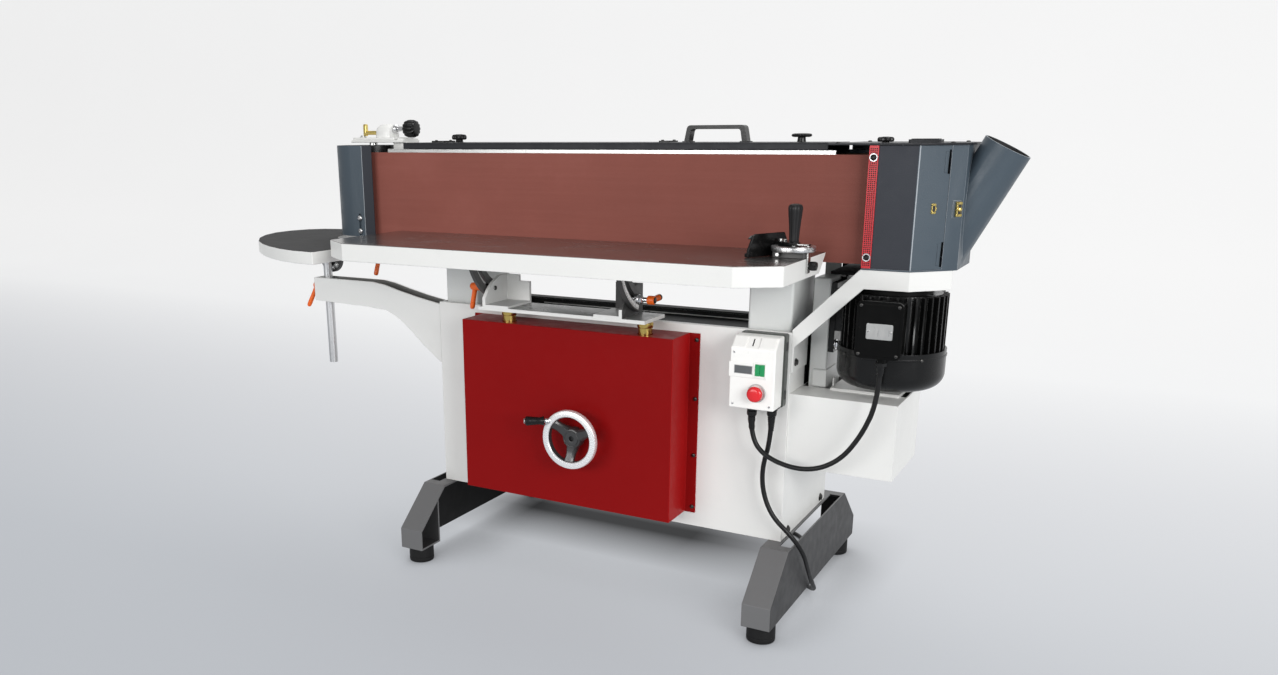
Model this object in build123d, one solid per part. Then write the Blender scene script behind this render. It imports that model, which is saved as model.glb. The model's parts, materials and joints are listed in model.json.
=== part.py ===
import os
import math
from build123d import *

os.makedirs("parts", exist_ok=True)

# ---------------------------------------------------------------- driving dimensions (mm)
# Working axes: X along the belt to the right, Y away from the operator, Z up from the floor.
SHIFT_X = 89.23         # moves the finished machine so that its box is centred on the origin
SHIFT_Y = 37.0

CAB_X = 436.0           # half width of the cabinet
CAB_F, CAB_B = -131.5, 187.0
CAB_Z0, CAB_Z1 = 177.0, 626.0
CAB_ZR = 607.0          # top of the rear wall
DECK_Z = 587.0          # recessed deck inside the top
WALL = 4.0

LEG_Z0, LEG_TOE = 38.0, 88.0
LEG_X0, LEG_X1 = 408.0, 470.0
LEG_F, LEG_FS, LEG_BS, LEG_B = -279.0, -178.0, 246.0, 347.0
FOOT_R = 30.0

BELT_W = 203.2          # belt width
BELT_Z0 = 768.7
BELT_Z1 = BELT_Z0 + BELT_W
BELT_R = 70.0           # outside of the belt on a drum
BELT_T = 1.4
DRUM_R = 68.25 - 0.05
AX_Y = -46.0            # line through both drum axes
IDL_X, DRV_X = -684.0, 614.0
DRUM_Z0, DRUM_Z1 = 776.0, 969.0
STROKE = 8.0            # oscillation of the head

TAB_Z, TAB_T = 789.0, 37.8
TAB_L, TAB_R = -553.5, 490.5
TAB_F, TAB_B = -421.0, -120.4
TAB_CX, TAB_CY = 76.8, 50.5
TILT_Y, TILT_Z = -121.0, 789.0
STUD_R = 126.0
STUD_A = math.radians(61.5)
STUD_Y = TILT_Y - STUD_R * math.cos(STUD_A)
STUD_Z = TILT_Z - STUD_R * math.sin(STUD_A)

COV_X0, COV_X1, COV_F = -308.0, 216.0, -220.0
COV_Z0, COV_Z1 = 208.0, 608.0
POST_X = (-199.0, 139.0)
POST_Y, POST_R = -190.0, 15.0
HW_X, HW_Z = -3.0, 375.0
HW_R = 58.0
GRIP_X, GRIP_Z = HW_X - 44.0, HW_Z + 37.0

HOOD_L, HOOD_C, HOOD_R = 564.0, 655.0, 726.0
HOOD_F, HOOD_B = -133.0, 142.0
HOOD_Z0, HOOD_Z1 = 760.0, 989.5

CON_Z = 764.0           # contour table top
POLE_X, POLE_Y, POLE_R = -807.0, -107.0, 10.8
CT_Z = 704.0            # contour tilt axis height

PIV_X, PIV_Y = 463.0, -238.0    # mitre gauge pivot
MOT_R = 88.0
CORD_R = 5.0


# ---------------------------------------------------------------- helpers
def bx(x0, x1, y0, y1, z0, z1):
    return Pos((x0 + x1) / 2, (y0 + y1) / 2, (z0 + z1) / 2) * Box(abs(x1 - x0), abs(y1 - y0), abs(z1 - z0))


def cz(x, y, z0, z1, r):
    return Pos(x, y, (z0 + z1) / 2) * Cylinder(r, z1 - z0)


def cx(x0, x1, y, z, r):
    return Pos((x0 + x1) / 2, y, z) * Rot(0, 90, 0) * Cylinder(r, x1 - x0)


def cy(y0, y1, x, z, r):
    return Pos(x, (y0 + y1) / 2, z) * Rot(90, 0, 0) * Cylinder(r, y1 - y0)


def prism_xz(pts, y0, y1):
    f = make_face(Polyline(*[(a, y0, b) for a, b in pts], close=True))
    return extrude(f, amount=y1 - y0, dir=(0, 1, 0))


def prism_yz(pts, x0, x1):
    f = make_face(Polyline(*[(x0, a, b) for a, b in pts], close=True))
    return extrude(f, amount=x1 - x0, dir=(1, 0, 0))


def prism_xy(pts, z0, z1):
    f = make_face(Polyline(*[(a, b, z0) for a, b in pts], close=True))
    return extrude(f, amount=z1 - z0, dir=(0, 0, 1))


def rod(p, q, r, r2=None):
    p, q = Vector(*p), Vector(*q)
    d = q - p
    loc = Location(Plane(origin=(p + q) * 0.5, z_dir=d))
    return loc * (Cylinder(r, d.length) if r2 is None else Cone(r, r2, d.length))


def hexa_x(x0, x1, y, z, r):
    f = Plane(origin=(x0, y, z), z_dir=(1, 0, 0)) * RegularPolygon(r, 6)
    return extrude(f, amount=x1 - x0, dir=(1, 0, 0))


def star(x, y, z0, z1, r, lobes=6):
    s = cz(x, y, z0, z1, r * 0.78)
    for i in range(lobes):
        a = 2 * math.pi * i / lobes
        s += cz(x + r * 0.74 * math.cos(a), y + r * 0.74 * math.sin(a), z0, z1, r * 0.3)
    return s


def tube(name, pts, r):
    vs = [Vector(*p) for p in pts]
    radii = []
    for a, b, c in zip(vs, vs[1:], vs[2:]):
        u, v = b - a, c - b
        turn = math.radians(u.get_angle(v))
        radii.append(0.45 * min(u.length, v.length) / math.tan(turn / 2))
    line = FilletPolyline(*pts, radius=radii)
    prof = Plane(origin=line @ 0, z_dir=line % 0) * Circle(r)
    s = sweep(prof, path=line)
    print(name, "radii", [round(x) for x in radii], "length", round(line.length, 1),
          "volume ratio", round(s.volume / (math.pi * r * r * line.length), 4))
    return s


nodes = {}

# ================================================================ fixed frame
cab = bx(-CAB_X, CAB_X, CAB_F, CAB_B, CAB_Z0, CAB_Z1)
cab -= bx(-CAB_X + WALL, CAB_X - WALL, CAB_F + WALL, CAB_B - WALL, CAB_Z0 - 5, CAB_Z1 + 5)
ix, f0, b0 = CAB_X - WALL, CAB_F + WALL, CAB_B - WALL
cab += bx(-ix, ix, f0, f0 + 11, CAB_Z1 - 4, CAB_Z1)                 # top flanges
cab -= bx(-CAB_X - 1, CAB_X + 1, b0 - 40, CAB_B + 1, CAB_ZR, CAB_Z1 + 1)
cab += bx(-ix, ix, b0 - 25, b0, CAB_ZR - 4, CAB_ZR)
deck = bx(-ix, ix, f0, b0, DECK_Z - 4, DECK_Z)                      # recessed deck round the head columns
deck -= bx(-ix - 1, -332, -116, 42, DECK_Z - 5, DECK_Z + 1)
deck -= bx(326, ix + 1, -116, 102, DECK_Z - 5, DECK_Z + 1)
cab += deck
cab += bx(-ix, ix, f0, f0 + 30, CAB_Z0, CAB_Z0 + 5)                 # bottom flanges
cab += bx(-ix, ix, b0 - 30, b0, CAB_Z0, CAB_Z0 + 5)
cab += bx(-ix, -ix + 30, f0, b0, CAB_Z0, CAB_Z0 + 5)
cab += bx(ix - 30, ix, f0, b0, CAB_Z0, CAB_Z0 + 5)
cab -= bx(ix - 1, CAB_X + 1, -32, 100, 455, CAB_Z1 + 5)             # slot for the motor bracket
nodes["cabinet"] = cab

leg_out = [(LEG_F, LEG_Z0), (LEG_F, LEG_TOE), (LEG_FS, CAB_Z0), (LEG_BS, CAB_Z0), (LEG_B, LEG_TOE), (LEG_B, LEG_Z0)]
leg_in = [(LEG_F + 5, LEG_Z0 - 1), (LEG_F + 5, LEG_TOE - 2.3), (LEG_FS + 2, CAB_Z0 - 5), (LEG_BS - 2, CAB_Z0 - 5),
          (LEG_B - 5, LEG_TOE - 2.3), (LEG_B - 5, LEG_Z0 - 1)]
FOOT_Y = (-240.0, 305.0)
legs = []
feet = []
for x0, x1, va, vb, ta, tb in ((LEG_X0, LEG_X1, LEG_X0 - 1, LEG_X1 - 5, 441, LEG_X1 - 5),
                               (-LEG_X1, -LEG_X0, -LEG_X1 + 5, -LEG_X0 + 1, -LEG_X1 + 5, -441)):
    # channel, open on the inner side and along the top beside the cabinet
    leg = prism_yz(leg_out, x0, x1) - prism_yz(leg_in, va, vb)
    leg -= bx(ta, tb, LEG_FS + 26, LEG_BS - 26, CAB_Z0 - 6, CAB_Z0 + 1)
    for gy in (-208, 268):
        leg += bx(x0, x1, gy, gy + 5, LEG_Z0, CAB_Z0) & prism_yz(leg_out, x0, x1)
    xm = (x0 + x1) / 2
    for fy in FOOT_Y:
        leg += bx(x0, x1, fy - 34, fy + 34, LEG_Z0, LEG_Z0 + 5)
        ft = cz(xm, fy, 0, LEG_Z0, FOOT_R)
        ft = chamfer(ft.edges().sort_by(Axis.Z)[:1], 3)
        feet.append(ft)
    legs.append(leg)
nodes["legs"] = Compound(legs)
nodes["rubber_feet"] = Compound(feet)

cov = bx(COV_X0, COV_X1, COV_F, CAB_F, COV_Z0, COV_Z1) - bx(COV_X0 + 3, COV_X1 - 3, COV_F + 3, CAB_F + 1, COV_Z0 + 3, COV_Z1 - 3)
cov += bx(COV_X1, COV_X1 + 24, CAB_F - 3, CAB_F, COV_Z0, COV_Z1)
cov += bx(COV_X0 - 24, COV_X0, CAB_F - 3, CAB_F, COV_Z0, COV_Z1)
for px in POST_X:
    cov -= cz(px, POST_Y, COV_Z1 - 6, COV_Z1 + 2, POST_R + 1.5)
cov -= cy(COV_F - 1, COV_F + 5, HW_X, HW_Z, 11)
nodes["lift_cover"] = cov

# guides and bearings of the table lift, on the cabinet front inside the cover
lb = []
for px in POST_X:
    g = bx(px - 26, px + 26, -212, CAB_F, 562, 604) - cz(px, POST_Y, 555, 610, POST_R + 0.05)
    lb.append(g)
b1 = bx(HW_X - 24, HW_X + 24, -212, CAB_F, 396, 415) - cz(HW_X, POST_Y, 390, 420, 8.05)
b2 = bx(HW_X - 22, HW_X + 22, -165, CAB_F, 353, 394) - cy(-170, CAB_F + 1, HW_X, HW_Z, 7.05)
lb += [b1, b2]
nodes["lift_bearings"] = Compound(lb)

# guide posts of the oscillating head
GP = ((-382.0, -37.0), (384.0, -37.0))
gp = bx(-430, 430, -67, -7, CAB_Z0 + 5, CAB_Z0 + 13)
for gx, gy in GP:
    gp += cz(gx, gy, CAB_Z0 + 12, 620, 16)
nodes["guide_posts"] = gp

# bent arm that carries the hood, and its partner at the rear
arm_pts = [(CAB_X, 632), (562, HOOD_Z0), (HOOD_C, HOOD_Z0), (HOOD_C, 723), (571, 723), (466, 620), (441, 597), (CAB_X, 597)]
arm = prism_xz(arm_pts, CAB_F, CAB_F + 5) + bx(CAB_X, CAB_X + 5, CAB_F, -36, 544, 622)
arm += prism_xy([(HOOD_C, CAB_F), (720, -66.5), (716.5, -63), (HOOD_C - 2, CAB_F + 5)], 723, HOOD_Z0)
arm += bx(HOOD_L, HOOD_C, CAB_F + 4, -100, 755, HOOD_Z0)
arm2 = prism_xz(arm_pts, HOOD_B - 5, HOOD_B) + bx(CAB_X, CAB_X + 5, HOOD_B - 5, 185, 532, 622)
arm2 += bx(HOOD_L, HOOD_C, 110, HOOD_B - 4, 755, HOOD_Z0)
nodes["hood_arm"] = Compound([arm, arm2])

# hood: fixed part with the dust spigot
W = 3.0
split = (702.0, -86.0)
hs = prism_xy([split, (HOOD_R, -62), (HOOD_R, 71), (HOOD_C, HOOD_B), (HOOD_L, HOOD_B), (HOOD_L, HOOD_B - W),
               (HOOD_C - 1.2, HOOD_B - W), (HOOD_R - W, 69.8), (HOOD_R - W, -60.8), (split[0] - 2.1, split[1] + 2.1)],
              HOOD_Z0, HOOD_Z1)
plan = [(HOOD_L, HOOD_F), (HOOD_C, HOOD_F), (HOOD_R, -62), (HOOD_R, 71), (HOOD_C, HOOD_B), (HOOD_L, HOOD_B)]
hs += prism_xy(plan, HOOD_Z0, HOOD_Z0 + 3) - cz(DRV_X, AX_Y, HOOD_Z0 - 1, HOOD_Z0 + 4, 62)
PIPE_R = 45.5
pa = math.radians(27)
pd = Vector(math.sin(pa), 0, math.cos(pa))
pc = Vector(784, 4.5, 985.5)
lo = pc - pd * 260
pipe_out = rod(tuple(lo), tuple(pc), PIPE_R)
pipe_in = rod(tuple(lo - pd * 5), tuple(pc + pd * 5), PIPE_R - 3.5)
pipe_mouth = rod(tuple(pc - pd * 40), tuple(pc + pd * 5), PIPE_R - 2.5)
keep = bx(HOOD_R, HOOD_R + 200, -100, 120, 700, 1100)
hs = hs - (pipe_in & bx(HOOD_R - 5, HOOD_R + 1, -100, 120, 770, HOOD_Z1 - 4)) + ((pipe_out - pipe_in - pipe_mouth) & keep)
nodes["hood_shell"] = hs

lid = prism_xy([(484, HOOD_F - 4), (HOOD_C + 2, HOOD_F - 4), (HOOD_R + 5, -64), (HOOD_R + 5, 73), (HOOD_C + 2, HOOD_B + 4), (484, HOOD_B + 4)],
               HOOD_Z1, HOOD_Z1 + 3.5)
lid += bx(623, 680, -92, -52, HOOD_Z1 + 3, HOOD_Z1 + 11) + bx(484, 561, 44, 47, 970, HOOD_Z1 + 1)
lid += cz(588, -62, HOOD_Z1 + 3, HOOD_Z1 + 9, 8) + star(588, -62, HOOD_Z1 + 8, HOOD_Z1 + 18, 17)
nodes["hood_lid"] = lid

# hood front, taken off by drawing it towards the operator
door = prism_xy([(HOOD_L, HOOD_F), (HOOD_C, HOOD_F), (split[0] - 0.5, split[1] - 0.5), (split[0] - 2.6, split[1] + 1.6),
                 (HOOD_C - 1.2, HOOD_F + W), (HOOD_L, HOOD_F + W)], HOOD_Z0 + 3.3, HOOD_Z1 - 0.3)
kx, ky = 681.0, -107.0
n45 = (math.sqrt(0.5), -math.sqrt(0.5))
keeper = Pos(kx + n45[0] * 2.5, ky + n45[1] * 2.5, 876) * Rot(0, 0, 45) * Box(12, 5, 24)
nodes["hood_door"] = door + keeper
strip = bx(HOOD_L, HOOD_L + 19, HOOD_F - 2.5, HOOD_F, HOOD_Z0 + 3.3, HOOD_Z1 - 0.3)
for zb in (HOOD_Z0 + 24, HOOD_Z1 - 22):
    strip += cy(HOOD_F - 6.5, HOOD_F - 2, HOOD_L + 9.5, zb, 6)
nodes["door_strip"] = strip
lx, ly = 715.5, -72.5
LATCH = (lx + n45[0] * 4, ly + n45[1] * 4)
latch_base = Pos(lx + n45[0] * 1.0, ly + n45[1] * 1.0, 874) * Rot(0, 0, 45) * Box(16, 2.0, 32)
latch = Pos(lx + n45[0] * 5.3, ly + n45[1] * 5.3, 874) * Rot(0, 0, 45) * Box(14, 6, 22)
latch += Pos(lx + n45[0] * 8.6, ly + n45[1] * 8.6, 874) * Rot(0, 0, 45) * Rot(90, 0, 0) * Cylinder(4, 2)
nodes["hood_latch"] = latch
nodes["hood_shell"] = nodes["hood_shell"] + latch_base

# curved arm of the contour table
ca = [(-834, 660), (-640, 660), (-605, 655), (-556, 643), (-500, 631), (-CAB_X, 620), (-CAB_X, 478), (-445, 482), (-489, 515),
      (-528, 549), (-551, 567), (-575, 582), (-602, 592), (-660, 597), (-834, 601)]
carm = prism_xz(ca, CAB_F, CAB_F + 48)
ci = [(-828, 666), (-600, 666), (-430, 630), (-430, 470), (-441, 489), (-486, 521), (-525, 555), (-548, 573), (-573, 588), (-601, 598),
      (-660, 603), (-828, 607)]
carm -= prism_xz(ci, CAB_F + 5, CAB_F + 43) - bx(POLE_X - 27, POLE_X + 20, CAB_F, CAB_F + 48, 590, 655)
carm -= cz(POLE_X, POLE_Y, 590, 668, POLE_R + 0.05)
carm -= cx(-836, -817, POLE_Y, 636, 5.05)
carm += bx(-CAB_X - 5, -CAB_X, CAB_F, -50, 478, 620)
nodes["contour_arm"] = carm

# starter
sb = bx(336, 431, CAB_F - 20, CAB_F, 475, 625)
nodes["starter_base"] = sb
G1, G2 = (377.0, -181.0), (414.0, -166.0)
sc = bx(333, 428, -201, CAB_F - 20, 477, 623)
sc = fillet(sc.edges().filter_by(Axis.Z), 5)
sc -= prism_yz([(-202, 600), (-180, 624), (-202, 624)], 330, 430)
sc -= bx(337, 424, -197, CAB_F - 19, 481, 619) - prism_yz([(-198, 595), (-173, 621), (-198, 621)], 330, 430)
sc -= bx(386.6, 407.4, -205, -190, 546.6, 571.4)
sc -= cy(-205, -190, 392, 512, 8.4)
for gx, gy in (G1, G2):
    sc += cz(gx, gy, 458, 478, 9) + cz(gx, gy, 462, 470, 11)
nodes["starter_cover"] = sc
nodes["start_button"] = bx(387, 407, -204, -192, 547, 571)
nodes["stop_button"] = cy(-221, -209, 392, 512, 16) + cy(-210, -190, 392, 512, 8)

# white box under the motor
DB_X1, DB_F, DB_B, DB_Z0, DB_Z1 = 653.0, -127.0, 80.0, 345.0, 500.0
db = bx(CAB_X, DB_X1, DB_F, DB_B, DB_Z0, DB_Z1) - bx(CAB_X + 3, DB_X1 - 3, DB_F + 3, DB_B - 3, DB_Z0 + 3, DB_Z1 + 1)
db += bx(CAB_X, DB_X1, DB_F, -45, DB_Z1 - 3, DB_Z1)
db += bx(500, 640, -60, 72, DB_Z1 - 0.5, DB_Z1 + 6)
db += bx(500, 503, -44, -30, DB_Z1 + 5, DB_Z1 + 24)
nodes["drive_box"] = db

# ================================================================ oscillating head
COL = ((-430.0, -340.0), (334.0, 428.0))
cols = []
for (x0, x1), (gx, gy) in zip(COL, GP):
    c = bx(x0, x1, -110, 36, 350, 752)
    c = fillet(c.edges().filter_by(Axis.Z), 6)
    c -= bx(x0 + 8, x1 - 8, -102, 28, 364, 560)
    c -= bx(x0 + 8, x1 - 8, -102, 28, 572, 740)
    c -= cz(gx, gy, 345, 735, 16.05)
    cols.append(c)
nodes["head_columns"] = Compound(cols)

beam = bx(-440, 440, -103, 42, 752, 764) + bx(-665, -440, -66, -26, 752, 764) + bx(-662, -638, -66, -56, 700, 753)
beam += bx(-580, 500, -66, -26, 763, 960) - bx(-570, 490, -58, -34, 772, 952)
for rx in (-560, -280, 0, 280, 480):
    beam += bx(rx - 5, rx + 5, -104, -65, 800, 940)
beam += bx(-678, -655, -130.6, -60, 752, 762) + bx(-678, -655, -130.6, -127.6, 752, 825)
SCR_X = -665.5
for zs in (784.6, 816):
    beam += cy(-136, -130, SCR_X, zs, 3) + cy(-137.8, -135.3, SCR_X, zs, 5.5)
nodes["head_beam"] = beam

nodes["platen"] = bx(-586, 496, -113.9, -104, 770, 980)


def stadium(r, z0, z1):
    return cz(IDL_X, AX_Y, z0, z1, r) + cz(DRV_X, AX_Y, z0, z1, r) + bx(IDL_X, DRV_X, AX_Y - r, AX_Y + r, z0, z1)


nodes["sanding_belt"] = stadium(BELT_R, BELT_Z0, BELT_Z1) - stadium(BELT_R - BELT_T, BELT_Z0 - 1, BELT_Z1 + 1)
nodes["rear_guard"] = bx(-540, 556, 38, 41, 764, 979)

ib = bx(-728, -567, -80, -12, 994, 1000) - bx(-698, -660, -58, -34, 993, 1001)
ib += bx(-606, -580, -66, -26, 900, 995) + bx(-581, -567, -66, -26, 961, 995) + bx(-585, -567, -76, -16, 999, 1004)
nodes["idler_base"] = ib

car = bx(-728, -596, -76, -16, 1000.3, 1006)
bell = bx(-661, -617, -70, -22, 1005, 1038)
bell = fillet(bell.edges().filter_by(Axis.X).sort_by(Axis.Z)[-2:], 15)
car += bell
car -= cx(-640, -597, AX_Y, 1026, 6.05)
car -= cx(-678, -645, AX_Y, 1017, 5.05)
car += cz(IDL_X, AX_Y, 774, 1001, 10) + cz(IDL_X, AX_Y, 771, 775, 15)
nodes["idler_carriage"] = car


def drum(x, bore):
    d = cz(x, AX_Y, DRUM_Z0, DRUM_Z1, DRUM_R) - cz(x, AX_Y, DRUM_Z0 + 10, DRUM_Z1 - 10, DRUM_R - 8)
    d += cz(x, AX_Y, DRUM_Z0, DRUM_Z1, 24)
    return d - cz(x, AX_Y, DRUM_Z0 - 1, DRUM_Z1 + 1, bore)


nodes["idler_drum"] = drum(IDL_X, 10.05) + (cz(IDL_X, AX_Y, DRUM_Z1 - 1, 988, 57) - cz(IDL_X, AX_Y, DRUM_Z1 - 2, 989, 10.05))
nodes["drive_drum"] = drum(DRV_X, 14.0)
knob = cx(-581, -548, AX_Y, 1026, 21)
knob = fillet(knob.edges().filter_by(GeomType.CIRCLE), 6)
nodes["tension_knob"] = knob + cx(-629, -580, AX_Y, 1026, 6) + cx(-605, -592, AX_Y, 1026, 10)
nodes["tracking_lever"] = cx(-706, -646, AX_Y, 1017, 5) + bx(-711, -703, -51, -41, 1009, 1038)

rot = cz(DRV_X, AX_Y, 545, 972, 14) + cz(DRV_X, AX_Y, 616, 722, 57) + cz(DRV_X, AX_Y, 548, 554, 84)
for i in range(7):
    rot += Pos(DRV_X, AX_Y, 0) * Rot(0, 0, i * 360 / 7) * bx(30, 82, -1.5, 1.5, 553, 580)
nodes["motor_rotor"] = rot

mot = cz(DRV_X, AX_Y, 597, 712, MOT_R) + cz(DRV_X, AX_Y, 711, 745, 70)
for i in range(36):
    mot += Pos(DRV_X, AX_Y, 0) * Rot(0, 0, i * 10 + 5) * bx(80, 100, -1.6, 1.6, 600, 690 if i == 23 else 711)
mot += bx(494, 560, -34, -14, 620, 700) + bx(494, 560, 8, 28, 620, 700) + bx(483, 495, -36, 36, 575, 718)
mot += bx(483, 495, 35, 104, 575, 750) + bx(494, 625, 35, 104, 744, 750) + bx(497, 625, -98, 36, 744, 750)
mot -= cz(DRV_X, AX_Y, 606, 733, 60)
mot -= cz(DRV_X, AX_Y, 590, 752, 14.05)
cowl = cz(DRV_X, AX_Y, 525, 604, 104)
cowl = fillet(cowl.edges().filter_by(GeomType.CIRCLE).sort_by(Axis.Z)[:1], 32)
cowl_in = cz(DRV_X, AX_Y, 528, 605, 101)
cowl_in = fillet(cowl_in.edges().filter_by(GeomType.CIRCLE).sort_by(Axis.Z)[:1], 30)
cowl -= cowl_in
for rr, n in ((30, 8), (52, 14), (72, 20)):
    for i in range(n):
        a = 2 * math.pi * i / n
        cowl -= cz(DRV_X + rr * math.cos(a), AX_Y + rr * math.sin(a), 520, 530, 6.5)
mot += cowl + (cz(DRV_X, AX_Y, 600, 604, 102) - cz(DRV_X, AX_Y, 599, 605, 99))
nodes["motor_body"] = mot

jb = bx(579, 660, -192, -110, 605, 708)
jb = fillet(jb.edges().filter_by(Axis.Y), 8)
jb -= cz(DRV_X, AX_Y, 590, 605, 104.3)
jb -= cz(DRV_X, AX_Y, 600, 720, 100.2)
jb += cz(624, -172, 588, 607, 9)
nodes["junction_box"] = jb

mb = bx(446, 483, -36, 70, 470, 727) - bx(454, 475, -28, 62, 478, 719)
mb += bx(428, 447, -10, 34, 500, 606)
nodes["motor_bracket"] = mb

# top cover with handle
tc = bx(-535, 481, -118, 36, 991, 994) + bx(-535, 481, -118, -115.4, 980, 992) + bx(-535, 481, 33.4, 36, 972, 992)
tc += bx(-461, -430, -85, -35, 993.5, 998) + bx(112, 136, -85, -35, 993.5, 997.5)
hx0, hx1 = 168.0, 298.0
hnd = bx(hx0, hx0 + 12, -72, -48, 993.5, 1028) + bx(hx1 - 12, hx1, -72, -48, 993.5, 1028) + bx(hx0, hx1, -72, -48, 1018, 1028)
hnd = fillet(hnd.edges().filter_by(Axis.Y).filter_by(lambda e: e.center().Z > 1027), 7)
tc += hnd
tc -= cz(-413, -60, 985, 1000, 4.05)
tc -= cz(411, -60, 985, 1000, 4.05)
nodes["top_cover"] = tc
nodes["star_knob_left"] = cz(-413, -60, 984, 1001, 4) + star(-413, -60, 1000, 1013, 19)
tk = cz(411, -60, 984, 1012, 4) + cz(411, -60, 994.5, 1004, 9) + cz(411, -60, 1004, 1011, 20)
nodes["top_knob_right"] = tk

# end guard around the idler drum
GR = 90.0
gd = cz(IDL_X, AX_Y, 771.5, 987.5, GR) - cz(IDL_X, AX_Y, 771, 988, GR - 2.3)
gd -= bx(IDL_X + 6, IDL_X + 120, -200, 100, 760, 1000)
gd -= prism_xy([(IDL_X, AX_Y), (IDL_X + 30, 100), (IDL_X - 60, 200), (IDL_X + 200, 200), (IDL_X + 200, AX_Y)], 760, 1000)
gx1 = -622.0
fy0, fy1 = AX_Y - GR + 3.0, AX_Y - GR + 5.1      # flat front
gd -= bx(IDL_X, IDL_X + 20, -200, 0, 760, 1000)
gd += prism_xy([(IDL_X, AX_Y - GR), (-651, fy0), (gx1, fy0), (gx1, fy1), (-651, fy1), (IDL_X, AX_Y - GR + 2.3)], 771.5, 987.5)
gd -= bx(SCR_X - 3.7, SCR_X + 3.7, -145, -120, 770, 826)
nodes["end_guard"] = gd

# clamp lever under the idler end
nodes["idler_lock_lever"] = (cy(-90, -66.3, -650, 715, 9) + cy(-97, -89, -650, 715, 12)
                             + rod((-650, -90, 715), (-655, -100, 672), 6.5, 5.5))

# ================================================================ table lift
lp = bx(-262, 152, -222, -122, 633, 641)
web = [(-222, 640), (-222, 660), (-207, 678), (STUD_Y - 8, 692), (-160, 704), (-122, 704), (-122, 640)]
for xw0, xw1, xp0, xp1 in ((-250, -242, -243, -182), (92, 100, 32, 93)):
    lp += prism_yz(web, xw0, xw1)
    lp += (bx(xp0, xp0 + 33, -130, -122, 640, 704) + bx(xp0 + 32, xp1, -130, -122, 640, 690)) if xp0 < 0 else bx(38, 100, -130, -122, 640, 704)
    lp += bx(xp0, xp1, -222, -129, 640, 646)
    lp -= cx(xw0 - 1, xw1 + 1, STUD_Y, STUD_Z, 5.05)
nodes["lift_plate"] = lp
lposts = bx(POST_X[0], POST_X[1], -204, -176, 430, 450)
for px in POST_X:
    lposts += cz(px, POST_Y, 430, 633, POST_R)
lposts -= cz(HW_X, POST_Y, 425, 455, 8.05)
nodes["lift_posts"] = lposts

scr = cz(HW_X, POST_Y, 390, 592, 8) + Pos(HW_X, POST_Y, HW_Z + 12.5) * Cone(8.2, 15.2, 7)
nodes["lift_screw"] = scr

hw = cy(-272, -236, HW_X, HW_Z, 23)
for i in range(3):
    hw += Pos(HW_X, 0, HW_Z) * Rot(0, 95 + i * 120, 0) * bx(12, HW_R, -266, -258, -9.5, 9.5)
rim = cy(-270, -254, HW_X, HW_Z, HW_R + 8) - cy(-275, -250, HW_X, HW_Z, HW_R - 8)
hw += chamfer(rim.edges().filter_by(GeomType.CIRCLE), 4.5)
hw += cy(-240, -140, HW_X, HW_Z, 7)
hw += Pos(HW_X, -202.5, HW_Z) * Rot(90, 0, 0) * Cone(8.2, 15.2, 7)
GRIP = Pos(GRIP_X, -264, GRIP_Z) * Rot(0, 0, -60)      # handle leans out beside the rim
hw += GRIP * (cy(-59, 0, 0, 0, 4) + cy(-61.5, -58.5, 0, 0, 7) + cy(-14.5, -5, 0, 0, 7.5))
nodes["handwheel"] = hw
grip = cy(-58, -16, 0, 0, 10.5)
grip = fillet(grip.edges().filter_by(GeomType.CIRCLE), 3)
nodes["handwheel_grip"] = GRIP * (grip - cy(-90, -10, 0, 0, 4.05))

# ================================================================ tilting table
out = [(TAB_L, TAB_B), (TAB_R, TAB_B), (TAB_R, TAB_F + TAB_CY), (TAB_R - TAB_CX, TAB_F), (TAB_L + TAB_CX, TAB_F), (TAB_L, TAB_F + TAB_CY)]
inn = [(TAB_L + 9, TAB_B + 1), (TAB_R - 9, TAB_B + 1), (TAB_R - 9, TAB_F + TAB_CY + 4.8), (TAB_R - TAB_CX - 2.7, TAB_F + 9),
       (TAB_L + TAB_CX + 2.7, TAB_F + 9), (TAB_L + 9, TAB_F + TAB_CY + 4.8)]
tab = prism_xy(out, TAB_Z - TAB_T, TAB_Z) - prism_xy(inn, TAB_Z - TAB_T - 1, TAB_Z - 10)
for rx in (-420, -120, 240, 380):
    tab += bx(rx - 4, rx + 4, TAB_F + 8, -150, TAB_Z - 28, TAB_Z - 9)
tab -= prism_yz([(TAB_B + 2, 787.5), (TAB_B + 2, 745), (TAB_B - 42.5, 745)], TAB_L - 5, TAB_R + 5)
nodes["main_table"] = tab


def sector(x0, x1, r0, r1, a0, a1):
    # a: degrees below the horizontal, on the operator's side of the tilt axis
    wedge = [(TILT_Y, TILT_Z)]
    for i in range(4):
        a = math.radians(a0 + (a1 - a0) * i / 3)
        wedge.append((TILT_Y - 2 * r1 * math.cos(a), TILT_Z - 2 * r1 * math.sin(a)))
    return (cx(x0, x1, TILT_Y, TILT_Z, r1) - cx(x0 - 1, x1 + 1, TILT_Y, TILT_Z, r0)) & prism_yz(wedge, x0 - 2, x1 + 2)


tr = []
for x0, x1, xf0, xf1 in ((-262, -252, -280, -252), (102, 112, 102, 130)):
    t = sector(x0, x1, 106, 147, 3, 76) - sector(x0 - 1, x1 + 1, STUD_R - 5.6, STUD_R + 5.6, 10.5, 67)
    t += bx(xf0, xf1, -272, -218, 768, 780)
    t -= bx(x0 - 60, x1 + 60, -300, -100, TAB_Z - 10, TAB_Z + 5)
    t -= sector(x0 - 1, x1 + 1, STUD_R - 5.6, STUD_R + 5.6, 10.5, 67)
    tr.append(t)
nodes["table_trunnions"] = Compound(tr)

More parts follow.
